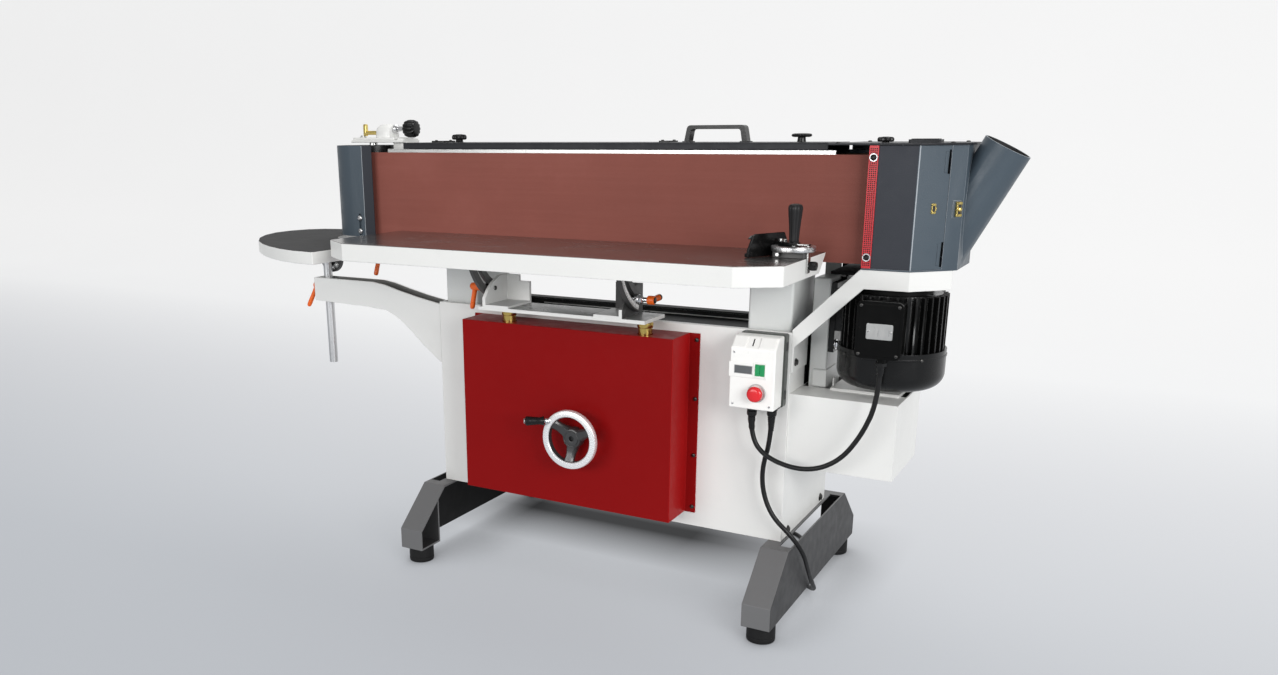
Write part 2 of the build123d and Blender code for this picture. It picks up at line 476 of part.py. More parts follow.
lv = cx(-300, -240, STUD_Y, STUD_Z, 5) + hexa_x(-241.6, -235.5, STUD_Y, STUD_Z, 9) + cx(-268, -262.5, STUD_Y, STUD_Z, 11)
lv += cx(-304, -274, STUD_Y, STUD_Z, 9) + rod((-292, STUD_Y, STUD_Z), (-300, STUD_Y - 4, STUD_Z - 52), 6.5, 5.5)
nodes["tilt_lever_left"] = lv
lv = cx(86, 158, STUD_Y, STUD_Z, 5) + hexa_x(85.5, 91.6, STUD_Y, STUD_Z, 9) + cx(112.5, 120, STUD_Y, STUD_Z, 11)
lv += cx(140, 158, STUD_Y, STUD_Z, 9.5) + rod((149, STUD_Y, STUD_Z), (153, STUD_Y + 34, STUD_Z + 3), 7.5, 6.5)
nodes["tilt_lever_right"] = lv

# mitre gauge on the right end of the table
mbase = bx(426, 491.2, -256, -220, TAB_Z + 0.3, TAB_Z + 12) + cz(PIV_X, PIV_Y, TAB_Z + 12, TAB_Z + 22, 36)
mbase -= bx(491.2, 520, -300, -180, TAB_Z - 5, TAB_Z + 40)
mbase += bx(491.2, 495, -246, -230, 761, 815)
mbase -= cx(489, 497, PIV_Y, 775, 3.05)
mbase -= cz(PIV_X, PIV_Y, TAB_Z + 5, TAB_Z + 25, 5.05)
nodes["mitre_base"] = mbase
mf = bx(-52, -42, -75, 25, TAB_Z + 0.6, TAB_Z + 43) + bx(-43, 14, -14, 14, TAB_Z + 22.4, TAB_Z + 29)
mf -= prism_yz([(-76, TAB_Z + 43.5), (-76, TAB_Z + 12), (-62, TAB_Z + 43.5)], -55, -40)
mf -= prism_yz([(26, TAB_Z + 43.5), (26, TAB_Z + 28), (18, TAB_Z + 43.5)], -55, -40)
mf -= cz(0, 0, TAB_Z + 15, TAB_Z + 35, 5.05)
nodes["mitre_fence"] = Pos(PIV_X, PIV_Y, 0) * Rot(0, 0, -27) * mf
mh = cz(PIV_X, PIV_Y, TAB_Z + 6, TAB_Z + 31, 5) + rod((PIV_X, PIV_Y, TAB_Z + 29.3), (PIV_X, PIV_Y, TAB_Z + 90), 9.5, 14)
mh += cz(PIV_X, PIV_Y, TAB_Z + 89, TAB_Z + 98, 14)
nodes["mitre_handle"] = mh
nodes["mitre_knob"] = cx(491, 497, PIV_Y, 775, 3) + cx(495.3, 510, PIV_Y, 775, 8.5)

# ================================================================ contour table
LOCK = (8.0, -20.0)     # clamp bolt from the tilt axis
nodes["contour_pole"] = (cz(POLE_X, POLE_Y, 437, 728, POLE_R)
                         + cy(-104, -80, POLE_X, CT_Z, 5) + cy(-81.5, -76, POLE_X, CT_Z, 9)
                         + cy(-104, -80, POLE_X + LOCK[0], CT_Z + LOCK[1], 4) + cy(-81.5, -76, POLE_X + LOCK[0], CT_Z + LOCK[1], 7))
ctt = cy(-94, -82, POLE_X, CT_Z, 33) + bx(POLE_X - 30, POLE_X + 8, -94, -82, CT_Z, 754)
ctt -= bx(POLE_X + 8, POLE_X + 80, -100, -70, 728, 760)
ctt += bx(POLE_X - 42, POLE_X - 1, -94, -52, 746, 754)
ctt -= cy(-100, -75, POLE_X, CT_Z, 5.05)
r_lock = math.hypot(*LOCK)
for i in range(13):
    a = math.atan2(LOCK[1], LOCK[0]) - math.radians(-4 + i * 4)
    ctt -= cy(-100, -75, POLE_X + r_lock * math.cos(a), CT_Z + r_lock * math.sin(a), 4.6)
nodes["contour_trunnion"] = ctt

co_pts = [(-580, -403), (-640, -398), (-700, -380), (-760, -352), (-820, -315), (-880, -268), (-935, -210), (-975, -150), (-1000, -90),
          (-1003, -30), (-988, 22), (-955, 55), (-905, 70), (-760, 70)]


def contour_outline(off):
    pts = list(co_pts)
    if off:
        pts = [(-580 - off, -403 + off * 1.1), (-640, -398 + off), (-700 + 0.25 * off, -380 + off), (-760 + 0.42 * off, -352 + 0.95 * off),
               (-820 + 0.55 * off, -315 + 0.86 * off), (-880 + 0.66 * off, -268 + 0.76 * off), (-935 + 0.78 * off, -210 + 0.65 * off),
               (-975 + 0.88 * off, -150 + 0.48 * off), (-1000 + 0.97 * off, -90 + 0.25 * off), (-1003 + off, -30),
               (-988 + 0.9 * off, 22 - 0.45 * off), (-955 + 0.55 * off, 55 - 0.85 * off), (-905 + 0.2 * off, 70 - off), (-760 - off, 70 - off)]
    r = 102.0 + off
    xe = -760 - off
    ya = AX_Y + math.sqrt(r * r - (xe - IDL_X) ** 2)
    a0 = math.atan2(ya - AX_Y, xe - IDL_X)
    a1 = math.radians(270)
    for i in range(25):
        a = a0 + (a1 - a0) * i / 24
        pts.append((IDL_X + r * math.cos(a), AX_Y + r * math.sin(a)))
    pts.append((-580 - off, AX_Y - r))
    return pts


ct = prism_xy(contour_outline(0), CON_Z - 29, CON_Z) - prism_xy(contour_outline(8), CON_Z - 30, CON_Z - 10)
nodes["contour_table"] = ct
nodes["pole_lever"] = (cx(-837, -819, POLE_Y, 636, 5) + cx(-857, -835.2, POLE_Y, 636, 9)
                       + rod((-848, POLE_Y, 636), (-873, POLE_Y - 10, 580), 6.5, 5.5))

# ================================================================ small fasteners
fx = []
for zs in (COV_Z0 + 14, COV_Z0 + 132, COV_Z0 + 258, COV_Z0 + 386):
    fx.append(cy(CAB_F - 6, CAB_F - 3, COV_X1 + 17, zs, 4.5))
    fx.append(cy(CAB_F - 6, CAB_F - 3, COV_X0 - 17, zs, 4.5))
for yy, zz in ((-114, 613), (-114, 564)):
    fx.append(hexa_x(CAB_X + 5, CAB_X + 10, yy, zz, 6))
for yy in (-88, 150):
    fx.append(hexa_x(CAB_X, CAB_X + 5, yy, CAB_Z0 + 14, 7))
    fx.append(hexa_x(-CAB_X - 5, -CAB_X, yy, CAB_Z0 + 14, 7))
for yy, zz in ((-68, 600), (-68, 500)):
    fx.append(hexa_x(-CAB_X - 10, -CAB_X - 5, yy, zz, 7))
nodes["frame_fasteners"] = Compound(fx)

# ================================================================ cords
nodes["motor_lead"] = tube("motor_lead", [(377, -181, 458), (377, -181, 412), (414, -181, 372), (492, -178, 356), (557, -175, 384),
                                          (600, -173, 448), (624, -172, 520), (624, -172, 588)], CORD_R)
nodes["mains_lead"] = tube("mains_lead", [(414, -166, 458), (414, -166, 408), (398, -163, 345), (402, -161, 290), (424, -160, 241),
                                          (466, -158, 206), (490, -138, 163), (488, -92, 108), (485, -44, 58), (480, 0, 24),
                                          (448, 44, 9), (404, 90, 6), (386, 146, 5.6), (382, 220, 5.4), (366, 300, 5.2), (336, 350, 5.2),
                                          (290, 372, 5.2), (226, 378, 5.2)], CORD_R)
COIL = (204.0, 436.0)
nodes["mains_coil"] = Pos(COIL[0], COIL[1], 12.5) * Torus(56, 12.5 - 0.3)
PLUG_Y = COIL[1] - 61
pl = bx(COIL[0] - 122, COIL[0] - 76, PLUG_Y - 19, PLUG_Y + 19, 1, 29)
pl = fillet(pl.edges().filter_by(Axis.X), 8)
pl += rod((COIL[0] - 78, PLUG_Y, 15), (COIL[0] - 44, PLUG_Y, 15), 9, 6)
pl += rod((COIL[0] - 46, PLUG_Y, 15), (COIL[0] - 14, PLUG_Y, 15), CORD_R)
for dy in (-7, 7):
    pl += bx(COIL[0] - 141, COIL[0] - 121, PLUG_Y + dy - 3, PLUG_Y + dy + 3, 14, 16)
nodes["mains_plug"] = pl

# ---------------------------------------------------------------- export
lo3 = [1e9] * 3
hi3 = [-1e9] * 3
for name, shape in nodes.items():
    s = Pos(SHIFT_X, SHIFT_Y, 0) * shape
    if name not in ("motor_lead", "mains_lead", "mains_coil", "mains_plug"):
        bb = s.bounding_box()
        for i, (a, b) in enumerate(zip((bb.min.X, bb.min.Y, bb.min.Z), (bb.max.X, bb.max.Y, bb.max.Z))):
            lo3[i] = min(lo3[i], a)
            hi3[i] = max(hi3[i], b)
    n = len(s.solids())
    print(f"{name:20s} solids {n:3d} volume {s.volume / 1000:10.1f} cm3")
    export_step(s, f"parts/{name}.step")
print("box", [round(v, 2) for v in lo3], [round(v, 2) for v in hi3], "nodes", len(nodes))
print("centre", [round((a + b) / 2, 3) for a, b in zip(lo3, hi3)])
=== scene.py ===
import json
import math
import bpy
import bmesh
from mathutils import Vector, Matrix


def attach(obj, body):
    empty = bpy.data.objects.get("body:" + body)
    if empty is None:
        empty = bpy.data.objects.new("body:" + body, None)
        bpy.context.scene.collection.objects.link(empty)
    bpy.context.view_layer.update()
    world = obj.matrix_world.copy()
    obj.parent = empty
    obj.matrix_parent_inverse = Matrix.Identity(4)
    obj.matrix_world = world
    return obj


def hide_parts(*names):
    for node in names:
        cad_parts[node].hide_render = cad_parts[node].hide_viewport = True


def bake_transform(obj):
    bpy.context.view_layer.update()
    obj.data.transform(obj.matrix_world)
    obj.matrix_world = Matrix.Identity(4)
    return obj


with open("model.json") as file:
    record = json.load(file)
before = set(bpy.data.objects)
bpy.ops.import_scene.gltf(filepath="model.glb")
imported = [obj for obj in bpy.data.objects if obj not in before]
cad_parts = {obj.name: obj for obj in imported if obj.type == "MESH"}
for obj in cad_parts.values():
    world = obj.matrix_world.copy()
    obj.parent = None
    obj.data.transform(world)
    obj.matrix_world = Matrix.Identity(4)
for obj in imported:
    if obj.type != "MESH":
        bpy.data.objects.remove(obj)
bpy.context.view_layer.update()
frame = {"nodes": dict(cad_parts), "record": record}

DX, DY = 89.23, 37.0          # working axes (mm) to the shared frame


def V(x, y, z):
    return Vector(((x + DX) / 1000.0, (y + DY) / 1000.0, z / 1000.0))


# ------------------------------------------------------------------ camera
scene = bpy.context.scene
cam_data = bpy.data.cameras.new("camera")
cam = bpy.data.objects.new("camera", cam_data)
scene.collection.objects.link(cam)
right = Vector((0.8652, 0.5014, -0.0068)).normalized()
fwd = Vector((-0.4833, 0.8302, -0.2780)).normalized()
up = right.cross(fwd).normalized()
right = fwd.cross(up).normalized()
rot = Matrix((right, up, -fwd)).transposed().to_4x4()
cam.matrix_world = Matrix.Translation(V(1073.1, -2161.9, 1019.0)) @ rot
cam_data.sensor_fit = "HORIZONTAL"
cam_data.sensor_width = 36.0
cam_data.lens = 1048.92 / 1278.0 * 36.0
cam_data.shift_x = (639.0 - 557.92) / 1278.0
cam_data.shift_y = (434.27 - 337.5) / 1278.0
cam_data.clip_start = 0.05
cam_data.clip_end = 60.0
scene.camera = cam


# ------------------------------------------------------------------ materials
def nodes_of(name):
    m = bpy.data.materials.new(name)
    m.use_nodes = True
    nt = m.node_tree
    return m, nt, nt.nodes["Principled BSDF"]


def noise(nt, scale, detail=3.0, rough=0.55, stretch=None, dist=0.0):
    tc = nt.nodes.new("ShaderNodeTexCoord")
    n = nt.nodes.new("ShaderNodeTexNoise")
    n.inputs["Scale"].default_value = scale
    n.inputs["Detail"].default_value = detail
    n.inputs["Roughness"].default_value = rough
    n.inputs["Distortion"].default_value = dist
    if stretch:
        mp = nt.nodes.new("ShaderNodeMapping")
        mp.inputs["Scale"].default_value = stretch
        nt.links.new(tc.outputs["Object"], mp.inputs["Vector"])
        nt.links.new(mp.outputs["Vector"], n.inputs["Vector"])
    else:
        nt.links.new(tc.outputs["Object"], n.inputs["Vector"])
    return n.outputs["Fac"]


def ramp(nt, fac, stops):
    r = nt.nodes.new("ShaderNodeValToRGB")
    els = r.color_ramp.elements
    while len(els) < len(stops):
        els.new(0.5)
    for e, (p, c) in zip(els, stops):
        e.position = p
        e.color = (c[0], c[1], c[2], 1.0)
    nt.links.new(fac, r.inputs["Fac"])
    return r.outputs["Color"]


def span(nt, fac, lo, hi, a=0.3, b=0.7):
    r = nt.nodes.new("ShaderNodeMapRange")
    r.inputs["From Min"].default_value = a
    r.inputs["From Max"].default_value = b
    r.inputs["To Min"].default_value = lo
    r.inputs["To Max"].default_value = hi
    nt.links.new(fac, r.inputs["Value"])
    return r.outputs["Result"]


def mix(nt, fac, a, b, mode="MIX"):
    m = nt.nodes.new("ShaderNodeMix")
    m.data_type = "RGBA"
    m.blend_type = mode
    for sock, v in ((m.inputs[0], fac), (m.inputs[6], a), (m.inputs[7], b)):
        if hasattr(v, "is_linked"):
            nt.links.new(v, sock)
        elif isinstance(v, (int, float)):
            sock.default_value = v
        else:
            sock.default_value = (v[0], v[1], v[2], 1.0)
    return m.outputs[2]


def math_(nt, op, a, b):
    m = nt.nodes.new("ShaderNodeMath")
    m.operation = op
    nt.links.new(a, m.inputs[0])
    nt.links.new(b, m.inputs[1])
    return m.outputs[0]


def bump(nt, height, strength, dist, normal=None):
    b = nt.nodes.new("ShaderNodeBump")
    b.inputs["Strength"].default_value = strength
    b.inputs["Distance"].default_value = dist
    nt.links.new(height, b.inputs["Height"])
    if normal is not None:
        nt.links.new(normal, b.inputs["Normal"])
    return b.outputs["Normal"]


def edge_normal(nt, radius):
    b = nt.nodes.new("ShaderNodeBevel")
    b.samples = 4
    b.inputs["Radius"].default_value = radius
    return b.outputs["Normal"]


def k(c, f):
    return tuple(min(1.0, x * f) for x in c)


def paint(name, base, rough=0.42, vary=0.05, peel=0.10, peel_scale=420.0, rvar=0.07, coat=0.0, edge=0.0012, spec=0.5, grime=0.0):
    """Sprayed paint: slow tone drift, fine speckle, orange-peel bump."""
    m, nt, b = nodes_of(name)
    big = noise(nt, 3.1, 4.0)
    fine = noise(nt, 900.0, 2.0)
    c = ramp(nt, big, [(0.25, k(base, 1 - vary)), (0.75, k(base, 1 + vary))])
    c = mix(nt, span(nt, fine, 0.0, 0.10, 0.35, 0.75), c, k(base, 0.62))
    if grime:
        g = noise(nt, 14.0, 6.0, 0.65)
        c = mix(nt, span(nt, g, 0.0, grime, 0.56, 0.78), c, k(base, 0.55))
    nt.links.new(c, b.inputs["Base Color"])
    nt.links.new(span(nt, noise(nt, 38.0, 4.0), rough - rvar, rough + rvar), b.inputs["Roughness"])
    b.inputs["Specular IOR Level"].default_value = spec
    if coat:
        b.inputs["Coat Weight"].default_value = coat
        b.inputs["Coat Roughness"].default_value = 0.12
    n = edge_normal(nt, edge) if edge else None
    nt.links.new(bump(nt, noise(nt, peel_scale, 2.0), peel, 0.0006, n), b.inputs["Normal"])
    return m


def metal(name, base, rough=0.25, vary=0.08, stretch=None, scale=220.0, rvar=0.08, bmp=0.06, edge=0.0008, metallic=1.0, aniso=0.0):
    m, nt, b = nodes_of(name)
    b.inputs["Metallic"].default_value = metallic
    line = noise(nt, scale, 3.0, 0.6, stretch)
    big = noise(nt, 9.0, 4.0)
    c = ramp(nt, big, [(0.3, k(base, 1 - vary)), (0.72, k(base, 1 + vary))])
    c = mix(nt, span(nt, line, 0.0, 0.25, 0.35, 0.7), c, k(base, 0.7))
    nt.links.new(c, b.inputs["Base Color"])
    nt.links.new(span(nt, line, max(0.02, rough - rvar), rough + rvar), b.inputs["Roughness"])
    if aniso:
        b.inputs["Anisotropic"].default_value = aniso
    n = edge_normal(nt, edge) if edge else None
    nt.links.new(bump(nt, line, bmp, 0.0003, n), b.inputs["Normal"])
    return m


def plastic(name, base, rough=0.38, grain=0.12, gscale=1300.0, vary=0.06, rvar=0.06, edge=0.0008, spec=0.5):
    m, nt, b = nodes_of(name)
    big = noise(nt, 22.0, 4.0)
    c = ramp(nt, big, [(0.28, k(base, 1 - vary)), (0.74, k(base, 1 + vary))])
    nt.links.new(c, b.inputs["Base Color"])
    nt.links.new(span(nt, noise(nt, 90.0, 3.0), rough - rvar, rough + rvar), b.inputs["Roughness"])
    b.inputs["Specular IOR Level"].default_value = spec
    n = edge_normal(nt, edge) if edge else None
    nt.links.new(bump(nt, noise(nt, gscale, 2.0), grain, 0.0002, n), b.inputs["Normal"])
    return m


def belt_material():
    """Resin-bonded grit on cloth: grains of several sizes, faint lengthwise streaks, darker towards the right-hand end.
    """
    m, nt, b = nodes_of("belt_grit")
    base = (0.262, 0.077, 0.057)
    big = noise(nt, 5.0, 5.0, 0.6)
    streak = noise(nt, 1.0, 4.0, 0.6, (2.5, 2.5, 130.0))
    grit = noise(nt, 2100.0, 2.0, 0.7)
    coarse = noise(nt, 620.0, 3.0, 0.6)
    c = ramp(nt, big, [(0.25, k(base, 0.90)), (0.55, base), (0.8, (0.300, 0.097, 0.075))])
    c = mix(nt, span(nt, streak, 0.0, 0.16, 0.42, 0.72), c, (0.34, 0.125, 0.098))
    c = mix(nt, span(nt, grit, 0.0, 0.62, 0.42, 0.68), c, (0.105, 0.026, 0.019))
    c = mix(nt, span(nt, coarse, 0.0, 0.30, 0.55, 0.75), c, (0.44, 0.20, 0.160))
    tc = nt.nodes.new("ShaderNodeTexCoord")
    sep = nt.nodes.new("ShaderNodeSeparateXYZ")
    nt.links.new(tc.outputs["Object"], sep.inputs[0])
    run = span(nt, sep.outputs["X"], 0.0, 1.0, -0.60, 0.70)
    c = mix(nt, 1.0, c, ramp(nt, run, [(0.0, (1.0, 1.0, 1.0)), (0.5, (0.93, 0.92, 0.92)), (1.0, (0.76, 0.73, 0.72))]), "MULTIPLY")
    nt.links.new(c, b.inputs["Base Color"])
    nt.links.new(span(nt, coarse, 0.62, 0.86), b.inputs["Roughness"])
    b.inputs["Specular IOR Level"].default_value = 0.35
    h = mix(nt, 0.5, grit, coarse)
    nt.links.new(bump(nt, h, 0.35, 0.0007), b.inputs["Normal"])
    return m


def iron_top_material(name, base, rough, streak_dir, metallic=0.9, blot=0.25, spec=0.5):
    """Ground table top: fine grinding lines, faint handling blotches."""
    m, nt, b = nodes_of(name)
    b.inputs["Metallic"].default_value = metallic
    b.inputs["Specular IOR Level"].default_value = spec
    line = noise(nt, 1.0, 4.0, 0.65, streak_dir)
    big = noise(nt, 7.0, 5.0, 0.62)
    c = ramp(nt, big, [(0.25, k(base, 1 - blot)), (0.55, base), (0.8, k(base, 1 + blot))])
    c = mix(nt, span(nt, line, 0.0, 0.35, 0.40, 0.68), c, k(base, 0.62))
    nt.links.new(c, b.inputs["Base Color"])
    r = nt.nodes.new("ShaderNodeMath")
    r.operation = "ADD"
    nt.links.new(span(nt, line, rough - 0.05, rough + 0.05), r.inputs[0])
    nt.links.new(span(nt, big, -0.05, 0.07), r.inputs[1])
    nt.links.new(r.outputs[0], b.inputs["Roughness"])
    nt.links.new(bump(nt, line, 0.05, 0.0003), b.inputs["Normal"])
    return m


CREAM = paint("cream_paint", (0.735, 0.735, 0.715), 0.40, 0.025, grime=0.08)
# dark copy of the cream for hollows and insides: painted shade
CREAM_SHADE_INSIDE = paint("cream_paint_painted_shade_inside", (0.16, 0.16, 0.152), 0.5, 0.05, grime=0.3)
# near-black for the recessed deck plate and for the cabinet's inner walls and rear flange top: dark deck plus painted
# shade
DECK_AND_SHADE = paint("dark_deck_and_painted_shade", (0.022, 0.023, 0.023), 0.62, 0.12, grime=0.25, spec=0.2)
RED = paint("dark_red_paint", (0.222, 0.0040, 0.0044), 0.36, 0.06, spec=0.07)
# lighter copy of the dark red for the cover's right-hand side: painted light on the face turned to the key lamp
RED_LIT_SIDE = paint("dark_red_paint_painted_lit_side", (0.325, 0.0075, 0.0080), 0.36, 0.06, spec=0.07)
STRIP = paint("strip_red_paint", (0.50, 0.012, 0.020), 0.34, 0.05, edge=0.0)
SLATE = paint("slate_paint", (0.053, 0.072, 0.090), 0.40, 0.10, peel=0.50, peel_scale=430.0, spec=0.35)
# darker copy of the slate for faces turned away from the key lamp and for the door's inner faces: painted shade
SLATE_SHADED = paint("slate_paint_painted_shade", (0.031, 0.034, 0.042), 0.46, 0.08, peel=0.30, peel_scale=430.0, spec=0.2)
# light slate for folds and edges: painted highlight along the folds, with some edge wear
EDGE_HIGHLIGHT_AND_WEAR = paint("slate_edge_painted_highlight_and_wear", (0.30, 0.325, 0.35), 0.36, 0.15, peel=0.2)
# near-black copy of the slate for the hood's inside faces: painted shade
SLATE_SHADE_INSIDE = paint("slate_paint_painted_shade_inside", (0.012, 0.012, 0.013), 0.6, 0.1)
LEG = paint("leg_paint", (0.135, 0.135, 0.137), 0.48, 0.06, peel=0.2, grime=0.12, spec=0.3)
# darker grey for the lift plate's lower top faces: painted shade beneath the table
SHADE = paint("lift_plate_top_painted_shade", (0.20, 0.205, 0.20), 0.30, 0.08, peel=0.2, spec=0.35)
# darker copy of the leg paint for the outer side faces and the front of the foot plates: painted shade
LEG_SHADE_SIDE = paint("leg_paint_painted_shade_side", (0.046, 0.046, 0.047), 0.5, 0.10, peel=0.25, grime=0.3, spec=0.2)
# near-black copy of the leg paint for the legs' inner faces, tops and undersides: painted shade
LEG_SHADE_INSIDE = paint("leg_paint_painted_shade_inside", (0.012, 0.012, 0.0122), 0.6, 0.12, grime=0.3, spec=0.1)
JBOX = paint("box_enamel", (0.0030, 0.0030, 0.0029), 0.22, 0.15, peel=0.12, peel_scale=330.0, spec=0.10)
BLACKP = paint("black_enamel", (0.0042, 0.0042, 0.0042), 0.24, 0.15, peel=0.14, peel_scale=330.0, coat=0.06, spec=0.28)
# matt black, also used on the motor bracket's face toward the column: painted shade in the gap
MATT_BLACK_AND_SHADE = paint("black_matt_and_painted_shade", (0.0040, 0.0040, 0.0040), 0.60, 0.15, peel=0.2, peel_scale=330.0, spec=0.12)
COVERP = paint("cover_paint", (0.012, 0.013, 0.016), 0.42, 0.08, spec=0.25)
GREY = paint("grey_cast_paint", (0.67, 0.685, 0.67), 0.38, 0.03, peel=0.2, peel_scale=260.0, grime=0.15)
IRON = paint("dark_cast_iron", (0.048, 0.047, 0.046), 0.42, 0.15, peel=0.45, peel_scale=240.0, grime=0.3)
WHEEL = paint("wheel_cast_paint", (0.030, 0.030, 0.031), 0.34, 0.12, peel=0.4, peel_scale=300.0, coat=0.2)
BRIGHT = paint("bracket_paint", (0.76, 0.77, 0.755), 0.36, 0.03, peel=0.25, peel_scale=240.0, grime=0.12)
# pale grey, also used on the lift plate's top face as painted shade
PALE_AND_SHADE = paint("pale_grey_paint_and_painted_shade", (0.50, 0.505, 0.495), 0.45, 0.06, peel=0.2, grime=0.2)
# near-black for printed scale ticks and for the insides of screw recesses, holes and slits: print plus painted shade
INK_AND_RECESS_SHADE = plastic("scale_ink_and_painted_recess_shade", (0.010, 0.010, 0.011), 0.5, 0.05)
GLASS = plastic("window_grey", (0.105, 0.110, 0.115), 0.16, 0.02)
BLANK = metal("blank_plate", (0.50, 0.50, 0.49), 0.34, 0.06, stretch=(300.0, 14.0, 14.0), scale=1.0)
CLOTH = plastic("belt_cloth", (0.17, 0.105, 0.066), 0.75, 0.4, 900.0)
TOP = iron_top_material("ground_iron", (0.30, 0.285, 0.275), 0.21, (9.0, 520.0, 520.0), 0.92, 0.10)
PAD = iron_top_material("graphite_pad", (0.040, 0.040, 0.041), 0.66, (26.0, 320.0, 320.0), 0.0, 0.30, 0.14)
STEEL = metal("bright_steel", (0.58, 0.58, 0.57), 0.26, stretch=(12.0, 300.0, 300.0), scale=1.0)
POLE = metal("pole_steel", (0.62, 0.625, 0.63), 0.42, 0.05, stretch=(160.0, 160.0, 6.0), scale=1.0)
PLATEN = metal("platen_steel", (0.60, 0.60, 0.585), 0.30, stretch=(8.0, 260.0, 260.0), scale=1.0)
DARKST = metal("dark_steel", (0.085, 0.083, 0.08), 0.38)
# half-metal rim with a light diffuse part: painted reflection of a bright surround
RIM_PAINTED_REFLECTION = metal("polished_rim_painted_reflection", (0.93, 0.93, 0.935), 0.26, 0.03, scale=300.0, rvar=0.05, bmp=0.03, metallic=0.55)
CHROME = metal("chrome", (0.80, 0.80, 0.81), 0.07, 0.03, scale=160.0, rvar=0.03, bmp=0.02)
ZINC = metal("yellow_zinc", (0.68, 0.50, 0.15), 0.21, 0.12, stretch=(200.0, 200.0, 14.0), scale=1.0)
BRASS = metal("brass", (0.74, 0.58, 0.20), 0.24, 0.10, scale=300.0)
ALU = metal("cast_aluminium", (0.64, 0.64, 0.645), 0.30, 0.08, scale=500.0)
BELT = belt_material()
RUBBER = plastic("rubber", (0.0080, 0.0080, 0.0084), 0.62, 0.25, 700.0, spec=0.22)
CABLE = plastic("cable_sheath", (0.0065, 0.0065, 0.0068), 0.40, 0.15, 900.0, spec=0.28)
BLACK = plastic("black_plastic", (0.0058, 0.0058, 0.0061), 0.28, 0.10, spec=0.30)
SATIN = plastic("satin_black", (0.0110, 0.0110, 0.0116), 0.40, 0.14, spec=0.25)
WHITE = plastic("white_plastic", (0.86, 0.852, 0.825), 0.33, 0.08, vary=0.02)
ORANGE = plastic("orange_plastic", (0.80, 0.125, 0.006), 0.30, 0.08, vary=0.05)
GREEN = plastic("green_plastic", (0.010, 0.27, 0.085), 0.26, 0.06)
REDP = plastic("red_plastic", (0.66, 0.016, 0.022), 0.24, 0.06)

BY_NODE = {
    "cabinet": CREAM, "legs": LEG, "rubber_feet": RUBBER, "lift_cover": RED, "lift_bearings": IRON, "guide_posts": STEEL,
    "hood_arm": CREAM, "hood_shell": SLATE, "hood_lid": COVERP, "contour_arm": CREAM, "starter_base": SATIN, "starter_cover": WHITE,
    "drive_box": CREAM, "frame_fasteners": DARKST, "motor_lead": CABLE, "mains_lead": CABLE, "mains_coil": CABLE, "mains_plug": RUBBER,
    "head_columns": GREY, "head_beam": GREY, "platen": PLATEN, "sanding_belt": BELT, "rear_guard": SLATE, "idler_base": CREAM,
    "motor_body": BLACKP, "junction_box": BLACKP, "motor_bracket": GREY, "idler_carriage": CREAM, "idler_drum": RUBBER,
    "tension_knob": BLACK, "tracking_lever": BRASS, "drive_drum": RUBBER, "motor_rotor": STEEL, "top_cover": COVERP,
    "star_knob_left": BLACK, "top_knob_right": BLACK, "end_guard": SLATE, "idler_lock_lever": ORANGE, "hood_door": SLATE,
    "door_strip": STRIP, "hood_latch": BRASS, "lift_plate": CREAM, "lift_posts": ZINC, "main_table": CREAM, "table_trunnions": IRON,
    "tilt_lever_left": ORANGE, "tilt_lever_right": ORANGE, "mitre_base": ALU, "mitre_fence": BLACKP, "mitre_handle": SATIN,
    "mitre_knob": BLACK, "contour_pole": CHROME, "contour_trunnion": IRON, "contour_table": CREAM, "pole_lever": ORANGE,
    "handwheel": CHROME, "handwheel_grip": SATIN, "lift_screw": STEEL, "start_button": GREEN, "stop_button": REDP,
}
for node, o in frame["nodes"].items():
    o.data.materials.clear()
    o.data.materials.append(BY_NODE[node])

BODY_OF = {n: b for b, ns in frame["record"]["behaviour"]["bodies"].items() for n in ns}


# ------------------------------------------------------------------ mesh tools (working axes, mm)
def to_obj(bm, name, mats, body, replaces=(), angle=32.0, bevel=0.0, bseg=2, blimit=40.0, recalc=True, bmat=-1):
    if recalc:
        bmesh.ops.recalc_face_normals(bm, faces=bm.faces)
    for v in bm.verts:
        v.co = V(*v.co)
    me = bpy.data.meshes.new(name)
    bm.to_mesh(me)
    bm.free()
    for p in me.polygons:
        p.use_smooth = True
    me.set_sharp_from_angle(angle=math.radians(angle))
    for m in (mats if isinstance(mats, (list, tuple)) else [mats]):
        me.materials.append(m)
    o = bpy.data.objects.new(name, me)
    scene.collection.objects.link(o)
    if bevel:
        md = o.modifiers.new("bevel", "BEVEL")
        md.width = bevel / 1000.0
        md.segments = bseg
        md.limit_method = "ANGLE"
        md.angle_limit = math.radians(blimit)
        md.use_clamp_overlap = True
        md.harden_normals = True
        md.material = bmat
    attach(o, body)
    if replaces:
        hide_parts(*replaces)
    return o


